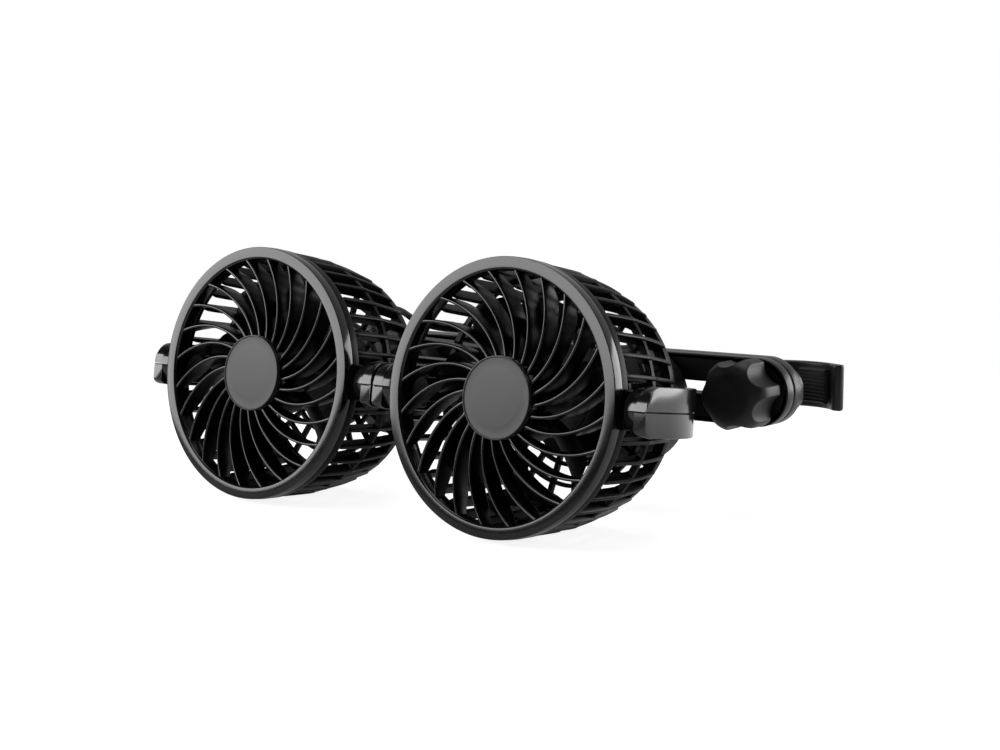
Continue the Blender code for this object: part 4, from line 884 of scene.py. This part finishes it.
def pivots(side, unit, finishes):
    """Tilt pins with their friction washers, in both trunnions."""
    pins = []
    washers = []
    for sign in SIDES.values():
        head, end = (sign * place for place in PIN_SPAN)
        start = head - sign * PIN_HEAD_LENGTH
        pins.append(((0, start), (PIN_HEAD_RADIUS, start), (PIN_HEAD_RADIUS, head), (PIN_RADIUS, head),
                     (PIN_RADIUS, end), (0, end)))
        washers.append(sleeve(PIN_RADIUS + GAP, WASHER_RADIUS, *(sign * place for place in WASHER_SPAN)))
    place = unit @ Matrix.Translation((0, PIVOT_DEPTH, 0))
    nodes = [f"{side}_{end}_pivot_pin" for end in ("inner", "outer")]
    rods = turned_piece(side + "_tilt_pins", pins, place, finishes["matte"], 0.0003, 32, along_x)
    settle(rods, side + "_head", "matte_black", *nodes)
    nodes = [f"{side}_{end}_friction_washer" for end in ("inner", "outer")]
    rings = turned_piece(side + "_tilt_washers", washers, place, finishes["rubber"], 0.0002, 48, along_x)
    settle(rings, side + "_head", "rubber", *nodes)


def yoke_path(length, blunt):
    """Centre line of the C-shaped arm: (place, outward direction, share of full height)."""
    nose_steps, arc_steps = 14, 72
    nose = []
    for step in range(nose_steps + 1):
        share = math.sin(math.pi / 2 * (0.08 + 0.92 * step / nose_steps))
        place = YOKE_FRONT + length * (1 - math.sqrt(1 - share * share))
        nose.append((Vector((0, place)), Vector((1, 0)), blunt + (1 - blunt) * share))
    arc = []
    for step in range(arc_steps + 1):
        angle = math.pi * step / arc_steps
        arc.append((Vector((0, YOKE_CENTRE)), Vector((math.cos(angle), math.sin(angle))), 1))
    return nose + arc + [(place, -outward, share) for place, outward, share in reversed(nose)]


def half_disc(radius, up, inset=0):
    """Half a circle above or below the seam, as (across, height) points."""
    start = math.asin(SEAM / 2 / radius)
    steps = 24
    angles = [start + (math.pi - 2 * start) * step / steps for step in range(steps + 1)]
    reach = radius - inset
    return [(reach * math.cos(angle), up * max(reach * math.sin(angle), SEAM / 2)) for angle in angles]


def yoke_half(side, name, up, unit, finishes):
    """Upper or lower shell of the yoke, with its barrels and swivel boss."""
    shape = bmesh.new()
    rings = []
    for place, outward, share in yoke_path(*YOKE_NOSES[name]):
        top = YOKE_HALF_HEIGHT * share
        low = SEAM / 2
        ease = min(0.0005, top * 0.4)
        fine = 0.00025
        section = [(YOKE_INSIDE + fine, low), (YOKE_INSIDE, low + fine), (YOKE_INSIDE, top - ease)]
        section += [(YOKE_INSIDE + ease * (1 - math.cos(turn_by)), top - ease * (1 - math.sin(turn_by)))
                    for turn_by in (math.pi / 6, math.pi / 3)]
        section += [(YOKE_INSIDE + ease, top), (YOKE_OUTSIDE - ease, top)]
        section += [(YOKE_OUTSIDE - ease * (1 - math.sin(turn_by)), top - ease * (1 - math.cos(turn_by)))
                    for turn_by in (math.pi / 6, math.pi / 3)]
        section += [(YOKE_OUTSIDE, top - ease), (YOKE_OUTSIDE, low + fine), (YOKE_OUTSIDE - fine, low)]
        rings.append([Vector((*(place + outward * out), up * height)) for out, height in section])
    skin(shape, rings)
    for sign in SIDES.values():
        rows = []
        for place, inset in BARREL_STATIONS:
            rows.append([Vector((sign * place, PIVOT_DEPTH + across, height))
                         for across, height in half_disc(BARREL_RADIUS, up, inset)])
        skin(shape, rows)
    rows = []
    for place, inset in SWIVEL_BOSS_STATIONS:
        rows.append([Vector((across, place, height))
                     for across, height in half_disc(SWIVEL_BOSS_RADIUS, up, inset)])
    skin(shape, rows)
    piece = add_piece(f"{side}_yoke_{name}", close_shape("yoke", shape), unit, finishes["arm"])
    settle(piece, side + "_yoke", "gloss_black", f"{side}_yoke_{name}_shell")


def screw_mesh(radius, length, head_radius, head_length, across):
    """A cross-recessed pan head screw along Y from the origin; its head is at the high end."""
    top = length + head_length
    outline = [(0, 0), (radius, 0), (radius, length), (head_radius, length),
               (head_radius, length + head_length * 0.5), (head_radius * 0.75, top), (0, top)]
    shape = bmesh.new()
    turn(shape, eased(outline, 0.0003), 32)
    blank = close_shape("screw", shape)
    for low, high in (((-across, -across / 4), (across, across / 4)),
                      ((-across / 4, -across), (across / 4, across))):
        shape = bmesh.new()
        eased_block(shape, (low[0], top - head_length * 0.6, low[1]),
                    (high[0], top + 0.001, high[1]), 0.00005)
        blank = cut(blank, close_shape("recess", shape))
    return blank


def yoke_screws(side, unit, finishes, trees):
    """The two screws that close the yoke's shells from below."""
    mesh = screw_mesh(radius=0.0013, length=0.0138, head_radius=0.0025, head_length=0.0018, across=0.0016)
    mesh.transform(Matrix.Rotation(-math.pi / 2, 4, "X"))
    place = unit @ Matrix.Translation((-YOKE_SCREW_PITCH / 2, YOKE_SCREW_DEPTH, YOKE_SCREW_TOP))
    row = {"Count": 2, "Spacing": (YOKE_SCREW_PITCH, 0, 0), "Turn": (0, 0, 0)}
    screws = grow(side + "_yoke_screws", mesh, trees["repeat"], place, finishes["steel"], row)
    settle(screws, side + "_yoke", "steel", side + "_yoke_screw_inner", side + "_yoke_screw_outer")


def hub_base(side, sign, unit, finishes, trees):
    """Round foot with its saddle on the bar, and the two screws that hold it."""
    inner = BASE_RADIUS - BASE_WALL
    outside = [(BASE_BORE, BASE_FRONT), (BASE_RADIUS - 0.0034, BASE_FRONT),
               (BASE_RADIUS - 0.0012, BASE_FRONT + 0.0008), (BASE_RADIUS - 0.0002, BASE_FRONT + 0.0028),
               (BASE_RADIUS, BASE_FRONT + 0.0045), (BASE_RADIUS, BASE_BACK)]
    inside = [(0.0092, BASE_BACK), (0.0092, BASE_BACK - BASE_WALL), (inner, BASE_BACK - BASE_WALL),
              (inner, BASE_FRONT + 0.0035), (BASE_RADIUS - 0.0035, BASE_FRONT + BASE_WALL),
              (BASE_BORE, BASE_FRONT + BASE_WALL)]
    shape = bmesh.new()
    turn(shape, eased(outside + inside, 0.0006), 96)
    bmesh.ops.transform(shape, matrix=LEVEL.inverted() @ unit, verts=shape.verts)
    offset = sign * HEAD_SPACING / 2
    for end in SIDES.values():
        low, high = sorted(offset + end * place for place in SADDLE_SPAN)
        eased_block(shape, (low, SADDLE_FRONT, SADDLE_HEIGHTS[0]),
                    (high, BAR_FRONT - GAP, SADDLE_HEIGHTS[1]), 0.0005)
    base = add_piece(side + "_hub_foot", close_shape("foot", shape), LEVEL, finishes["matte"])
    settle(base, "clamp_bar", "matte_black", side + "_hub_base")
    mesh = screw_mesh(radius=0.0016, length=BAR_BACK - BAR_FRONT + 0.0033, head_radius=0.0031,
                      head_length=0.0018, across=0.002)
    place = LEVEL @ Matrix.Translation((offset - HUB_SCREW_PITCH / 2, BAR_FRONT - 0.003,
                                        BAR_CENTRE_HEIGHT + HUB_SCREW_HEIGHT))
    row = {"Count": 2, "Spacing": (HUB_SCREW_PITCH, 0, 0), "Turn": (0, 0, 0)}
    screws = grow(side + "_hub_screws", mesh, trees["repeat"], place, finishes["steel"], row)
    settle(screws, "clamp_bar", "steel", side + "_hub_screw_1", side + "_hub_screw_2")


def flip(facing):
    """Stand a flat plate up: its top faces forward or back along Y."""
    return Matrix.Rotation(-facing * math.pi / 2, 4, "X")


def bar_half(name, start, facing, finishes):
    """Front or rear shell of the clamp bar: a recessed field inside a raised rim, with two slots."""
    depth = BAR_SHELL_DEPTH
    outer = stadium(-BAR_HALF_LENGTH, BAR_HALF_LENGTH, BAR_HALF_HEIGHT)
    inner = stadium(-BAR_HALF_LENGTH + BAR_RIM, BAR_HALF_LENGTH - BAR_RIM, BAR_HALF_HEIGHT - BAR_RIM)
    slots = [stadium(*sorted((sign * SLOT_INNER_END, sign * SLOT_OUTER_END)), SLOT_HALF_HEIGHT)
             for sign in SIDES.values()]
    lips = [stadium(min(slot)[0] - SLOT_LIP, max(slot)[0] + SLOT_LIP, SLOT_HALF_HEIGHT + SLOT_LIP)
            for slot in slots]
    field = [outer] + [slot[::-1] for slot in slots]
    shape = bmesh.new()
    parts = [(field, depth - BAR_FIELD_DEPTH, 0.0003, BAR_FIELD_DEPTH / 2)]
    parts.append(([outer, inner[::-1]], depth, 0.0009, 0))
    parts += [([lip, slot[::-1]], depth, 0.0003, 0) for lip, slot in zip(lips, slots)]
    for outlines, thickness, easing, shift in parts:
        mesh = plate("part", outlines, thickness, easing)
        mesh.transform(Matrix.Translation((0, 0, shift)))
        shape.from_mesh(mesh)
    mesh = close_shape(name, shape)
    place = LEVEL @ Matrix.Translation((0, start + depth / 2, BAR_CENTRE_HEIGHT))
    half = add_piece(name, mesh, place @ flip(facing), finishes["satin"])
    shade_flat(half.data, Vector((0, 1, 0)))
    return half


def jaw_line():
    """Hook in plan, foot to tip: (place, heading, half thickness, share of full height)."""
    half = JAW_WALL / 2 - JAW_SLACK
    base = GAP + JAW_WALL / 2
    foot_steps, bend_steps, arc_steps, bead_steps, tip_steps = 12, 8, 48, 4, 7
    stations = []
    for step in range(foot_steps + 1):
        rounding = math.cos(math.pi / 2 * step / foot_steps)
        place = Vector((JAW_FOOT_FLAT + JAW_FOOT_ROUND * rounding, base))
        stations.append((place, Vector((-1, 0)), half, math.sqrt(1 - JAW_FOOT_TAPER * rounding ** 2)))
    stations.append((Vector((JAW_BEND_START, base)), Vector((-1, 0)), half, 1))
    corner = Vector((JAW_CENTRE.x - JAW_RADIUS + JAW_BEND, base + JAW_BEND))
    for step in range(bend_steps):
        angle = -math.pi / 2 * (1 + step / bend_steps)
        outward = Vector((math.cos(angle), math.sin(angle)))
        stations.append((corner + JAW_BEND * outward, Vector((outward.y, -outward.x)), half, 1))
    start = math.pi - math.asin((corner.y - JAW_CENTRE.y) / JAW_RADIUS)
    for step in range(arc_steps + 1):
        angle = start + (JAW_ARC_END - start) * step / arc_steps
        outward = Vector((math.cos(angle), math.sin(angle)))
        bead = half * (1 + JAW_BEAD * max(0, step - arc_steps + bead_steps) / bead_steps)
        stations.append((JAW_CENTRE + JAW_RADIUS * outward, Vector((outward.y, -outward.x)), bead, 1))
    tip, heading, bead, height = stations[-1]
    for step in range(1, tip_steps + 1):
        angle = JAW_TIP_ROUND * step / tip_steps
        stations.append((tip + heading * bead * math.sin(angle), heading, bead * math.cos(angle), height))
    return stations


def hook_mesh(sign):
    """Hook swept along its plan with rounded edges."""
    corners = [(math.sin(angle), math.cos(angle)) for angle in (math.pi / 8 * step for step in range(5))]
    rings = []
    for place, heading, half, share in jaw_line():
        across = Vector((-heading.y, heading.x))
        height = JAW_HALF_HEIGHT * share
        ease = min(0.0009, half * 0.9)
        section = [(half - ease * (1 - out), height - ease * (1 - up)) for out, up in corners]
        section += [(out, -up) for out, up in reversed(section)]
        section += [(-out, up) for out, up in reversed(section)]
        rings.append([Vector((sign * (place + across * out).x, (place + across * out).y, up))
                      for out, up in section])
    shape = bmesh.new()
    skin(shape, rings)
    return close_shape("hook", shape)


def pad_sweep(name, section, sign):
    """A (radius, height) section swept along the pad's arc in the hook."""
    centre = Vector((sign * JAW_CENTRE.x, JAW_CENTRE.y))
    steps = 24
    rings = []
    for step in range(steps + 1):
        angle = PAD_ARC[0] + (PAD_ARC[1] - PAD_ARC[0]) * step / steps
        heading = Vector((sign * math.cos(angle), math.sin(angle)))
        rings.append([Vector((*(centre + heading * radius), height)) for radius, height in section])
    shape = bmesh.new()
    skin(shape, rings)
    return close_shape(name, shape)


def bolt_mesh(seat):
    """Clamp bolt along Y: its head, with a hexagon socket, ends at the seat."""
    under = seat - BOLT_HEAD_LENGTH
    outline = [(0, BOLT_FRONT), (BOLT_RADIUS, BOLT_FRONT), (BOLT_RADIUS, under), (BOLT_HEAD_RADIUS, under),
               (BOLT_HEAD_RADIUS, seat - 0.0003), (BOLT_HEAD_RADIUS - 0.0008, seat), (0, seat)]
    shape = bmesh.new()
    turn(shape, eased(outline, 0.0002), 32)
    floor, above = seat - SOCKET_DEPTH, seat + 0.001
    socket = bmesh.new()
    turn(socket, [(0, floor), (SOCKET_RADIUS, floor), (SOCKET_RADIUS, above), (0, above)], 6)
    return cut(close_shape("bolt", shape), close_shape("socket", socket))


def jaw(side, sign, finishes, trees):
    """Hook, ribbed pad and clamp bolt."""
    body = side + "_jaw_carriage"
    place = LEVEL @ Matrix.Translation((sign * BOLT_STATION, BAR_BACK, BAR_CENTRE_HEIGHT))
    hook = add_piece(side + "_hook", hook_mesh(sign), place, finishes["satin"])
    settle(hook, body, "satin_black", side + "_jaw")
    half = PAD_HALF_HEIGHT
    pitch = 2 * half / PAD_RIDGES
    backing = JAW_RADIUS - JAW_WALL / 2 - 2 * GAP
    face = backing - PAD_WALL
    section = eased(((backing, -half), (backing, half), (face, half), (face, -half)), 0.0003)
    pad = add_piece(side + "_pad_backing", pad_sweep("pad", section, sign), place, finishes["rubber"])
    settle(pad, body, "rubber", side + "_jaw_pad")
    root, crest = face + PAD_RIDGE_ROOT, face - PAD_RIDGE_PROUD
    section = eased(((root, 0), (root, pitch * 0.7), (crest, pitch * 0.52), (crest, pitch * 0.18)),
                    0.00015, 2)
    row = {"Count": PAD_RIDGES, "Spacing": (0, 0, pitch), "Turn": (0, 0, 0)}
    start = place @ Matrix.Translation((0, 0, -half + pitch * 0.15))
    ridges = grow(side + "_pad_ridges", pad_sweep("ridge", section, sign), trees["repeat"], start,
                  finishes["rubber"], row)
    settle(ridges, body, "rubber", side + "_jaw_pad")
    bolt = add_piece(side + "_clamp_screw", bolt_mesh(GAP + JAW_WALL), place, finishes["steel"])
    settle(bolt, body, "steel", side + "_clamp_bolt")


def knob_reach(angle, radius):
    """Outer radius of the knob at an angle: its round body less the finger flutes."""
    pitch = math.tau / KNOB_LOBES
    turned_by = (angle - KNOB_FLUTE_TURN + pitch / 2) % pitch - pitch / 2
    across = KNOB_FLUTE_CENTRE * math.sin(turned_by)
    if abs(across) >= KNOB_FLUTE_RADIUS:
        return radius
    edge = KNOB_FLUTE_CENTRE * math.cos(turned_by) - math.sqrt(KNOB_FLUTE_RADIUS ** 2 - across ** 2)
    share = max(0, min(1, 0.5 + 0.5 * (edge - radius) / KNOB_FLUTE_BLEND))
    return edge * (1 - share) + radius * share - KNOB_FLUTE_BLEND * share * (1 - share)


def knob(side, sign, finishes):
    """Star knob with six flutes, a domed front and a hollow back, and its washer."""
    place = LEVEL @ Matrix.Translation((sign * BOLT_STATION, BAR_BACK, BAR_CENTRE_HEIGHT))
    steps = KNOB_LOBES * 60
    angles = [math.tau * step / steps for step in range(steps)]
    inside = ((0, KNOB_HOLLOW), (KNOB_BORE, KNOB_HOLLOW), (KNOB_BORE, 0.0003), (0.0026, 0), (0.0058, 0),
              (0.006, 0.0003), (0.006, KNOB_HOLLOW), (0.0112, KNOB_HOLLOW), (0.0112, 0.0004), (0.0116, 0))
    rings = [[along_y(radius, angle, KNOB_BACK - along) for angle in angles] for radius, along in inside]
    for along, size in smooth_line(KNOB_PROFILE, 4):
        rings.append([along_y(knob_reach(angle, KNOB_RADIUS * size), angle, KNOB_BACK - KNOB_LENGTH * along)
                      for angle in angles])
    shape = bmesh.new()
    skin(shape, rings, capped=False)
    star = add_piece(side + "_star_knob", close_shape("knob", shape), place, finishes["matte"], 40)
    settle(star, side + "_knob", "matte_black", side + "_clamp_knob")
    start = KNOB_BACK + GAP
    ring = sleeve(KNOB_BORE, COLLAR_RADIUS, start, start + COLLAR_LENGTH)
    washer = turned_piece(side + "_knob_collar", [ring], place, finishes["matte"], 0.0003, 48)
    settle(washer, side + "_knob", "matte_black", side + "_knob_washer")


def gland_place(side, angle):
    """Frame of a gland on a hub base's rim, with its axis along Z."""
    outward = along_y(1, angle, 0)
    spin = Vector((0, 0, 1)).rotation_difference(outward).to_matrix().to_4x4()
    rim = outward * (BASE_RADIUS + GAP) + Vector((0, GLAND_DEPTH, 0))
    return UNITS[side] @ Matrix.Translation(rim) @ spin


def leads(finishes, trees):
    """Ribbed glands on the feet, and the lead that links the heads."""
    for name, gland in GLANDS.items():
        boot = turned_piece(name + "_boot", [GLAND_PROFILE], gland_place(*gland), finishes["rubber"],
                            0.0002, 32, along_z)
        settle(boot, "clamp_bar", "rubber", name)
    start, end = ([gland_place(*GLANDS[name]) @ Vector((0, 0, along)) for along in GLAND_REACH]
                  for name in ("left_lead_gland", "right_lead_gland"))
    middle = [LEVEL @ Vector(place) for place in LEAD_ROUTE]
    points = smooth_line(start + middle + end[::-1], 8)
    mesh = bpy.data.meshes.new("route")
    mesh.from_pydata(points, [(index, index + 1) for index in range(len(points) - 1)], [])
    sizes = {"Radius": LEAD_RADIUS, "Spacing": 0.0015}
    lead = grow("link_lead_cover", mesh, trees["lead"], Matrix.Identity(4), finishes["rubber"], sizes)
    settle(lead, "clamp_bar", "rubber", "link_lead")


def clamp(finishes, trees):
    """Bar shells, hub feet, jaws and knobs."""
    front = bar_half("bar_front_cover", BAR_FRONT, -1, finishes)
    settle(front, "clamp_bar", "satin_black", "clamp_bar_front")
    rear = bar_half("bar_rear_cover", BAR_FRONT + BAR_SHELL_DEPTH + GAP, 1, finishes)
    settle(rear, "clamp_bar", "satin_black", "clamp_bar_rear")
    for side, sign in SIDES.items():
        hub_base(side, sign, UNITS[side], finishes, trees)
        jaw(side, sign, finishes, trees)
        knob(side, sign, finishes)


def softbox(name, place, target, width, height, radiance, roll):
    """A soft area lamp facing the fan, rolled about its axis and unseen by the camera."""
    lamp = bpy.data.lights.new(name, "AREA")
    lamp.shape = "RECTANGLE"
    lamp.size = width
    lamp.size_y = height
    lamp.energy = radiance * math.pi * width * height
    item = add_object(name, lamp)
    item.location = place
    facing = (Vector(target) - Vector(place)).to_track_quat("-Z", "Y").to_matrix()
    item.rotation_euler = (facing @ Matrix.Rotation(roll, 3, "Z")).to_euler()
    item.visible_camera = False


def studio_world():
    """White to the camera; a soft room, brighter behind the fan, for everything else."""
    world = bpy.data.worlds.new("studio")
    bpy.context.scene.world = world
    world.use_nodes = True
    tree = world.node_tree
    tree.nodes.clear()
    ray = node(tree, "ShaderNodeLightPath").outputs
    seen = maths(tree, "MAXIMUM", ray["Is Camera Ray"], ray["Is Transmission Ray"])
    direction = node(tree, "ShaderNodeSeparateXYZ",
                     {0: node(tree, "ShaderNodeTexCoord").outputs["Generated"]})
    behind = node(tree, "ShaderNodeMapRange", {
        "Value": direction.outputs["Y"], "From Min": 0.0, "From Max": 0.8, "To Min": 0.05,
        "To Max": 0.5}).outputs[0]
    room = node(tree, "ShaderNodeBackground", {"Strength": behind, "Color": (1, 1, 1, 1)})
    white = node(tree, "ShaderNodeBackground", {"Strength": 1, "Color": (1, 1, 1, 1)})
    mixed = node(tree, "ShaderNodeMixShader", {0: seen, 1: room.outputs[0], 2: white.outputs[0]})
    out = node(tree, "ShaderNodeOutputWorld")
    tree.links.new(mixed.outputs[0], out.inputs[0])


def studio_floor():
    """Pale floor that keeps a faint shadow and runs out to white."""
    shape = bmesh.new()
    bmesh.ops.create_grid(shape, x_segments=1, y_segments=1, size=FLOOR_SIZE)
    mesh = bpy.data.meshes.new("floor")
    shape.to_mesh(mesh)
    shape.free()
    floor = add_object("floor", mesh)
    material, tree, surface = new_material("pale_floor")
    surface.inputs["Base Color"].default_value = (FLOOR_GREY, FLOOR_GREY, FLOOR_GREY, 1)
    surface.inputs["Roughness"].default_value = 0.9
    surface.inputs["Specular IOR Level"].default_value = 0
    ray = node(tree, "ShaderNodeLightPath").outputs
    seen = maths(tree, "MAXIMUM", ray["Is Camera Ray"], ray["Is Glossy Ray"])
    place = node(tree, "ShaderNodeTexCoord").outputs["Object"]
    distance = node(tree, "ShaderNodeVectorMath", {0: place}, operation="LENGTH").outputs["Value"]
    far = node(tree, "ShaderNodeMapRange", {"Value": distance, "From Min": 0.25, "From Max": 0.7},
               interpolation_type="SMOOTHSTEP").outputs[0]
    depth = node(tree, "ShaderNodeSeparateXYZ", {0: place}).outputs["Y"]
    reflected = node(tree, "ShaderNodeMapRange", {
        "Value": depth, "From Min": -0.1, "From Max": 0.3, "To Min": 0.2, "To Max": 0.9}).outputs[0]
    strength = maths(tree, "MAXIMUM", ray["Is Camera Ray"], reflected)
    glow = node(tree, "ShaderNodeEmission", {
        "Color": (1, 1, 1, 1), "Strength": maths(tree, "MULTIPLY", strength, FLOOR_GLOW)})
    lit = node(tree, "ShaderNodeAddShader", {0: surface.outputs[0], 1: glow.outputs[0]})
    white = node(tree, "ShaderNodeEmission", {"Color": (1, 1, 1, 1), "Strength": strength})
    near = node(tree, "ShaderNodeMixShader", {0: far, 1: lit.outputs[0], 2: white.outputs[0]})
    mixed = node(tree, "ShaderNodeMixShader", {0: seen, 1: surface.outputs[0], 2: near.outputs[0]})
    tree.links.new(mixed.outputs[0], tree.nodes["Material Output"].inputs[0])
    mesh.materials.append(material)


def photo_camera():
    """Camera at the photograph's angle, from the front right and a little above."""
    data = bpy.data.cameras.new("photo_camera")
    data.lens = CAMERA_LENS
    data.sensor_width = 36
    data.clip_start = 0.01
    camera = add_object("photo_camera", data)
    camera.location = LEVEL @ CAMERA_PLACE
    camera.rotation_euler = CAMERA_HEADING.to_track_quat("-Z", "Y").to_euler()
    bpy.context.scene.camera = camera


def main():
    """Dress the frame, then set the studio round it."""
    trees = {"repeat": repeat_tree(), "swirl": swirl_tree(), "lead": lead_tree()}
    finishes = make_finishes()
    for side, unit in UNITS.items():
        guard_face(side, unit, finishes, trees)
        badge_cap(side, unit, finishes)
        cage(side, unit, finishes, trees)
        motor(side, unit, finishes)
        impeller(side, unit, finishes, trees)
        pivots(side, unit, finishes)
        yoke_half(side, "upper", 1, unit, finishes)
        yoke_half(side, "lower", -1, unit, finishes)
        yoke_screws(side, unit, finishes, trees)
        for name in ("swivel_bolt", "swivel_washer", "swivel_nut", "motor_shaft"):
            frame["nodes"][f"{side}_{name}"].data.materials[0] = finishes["steel"]
    clamp(finishes, trees)
    leads(finishes, trees)
    photo_camera()
    studio_world()
    studio_floor()
    for name, setting in SOFTBOXES.items():
        softbox(name, *setting)
    bpy.context.scene.view_settings.view_transform = "Standard"


main()
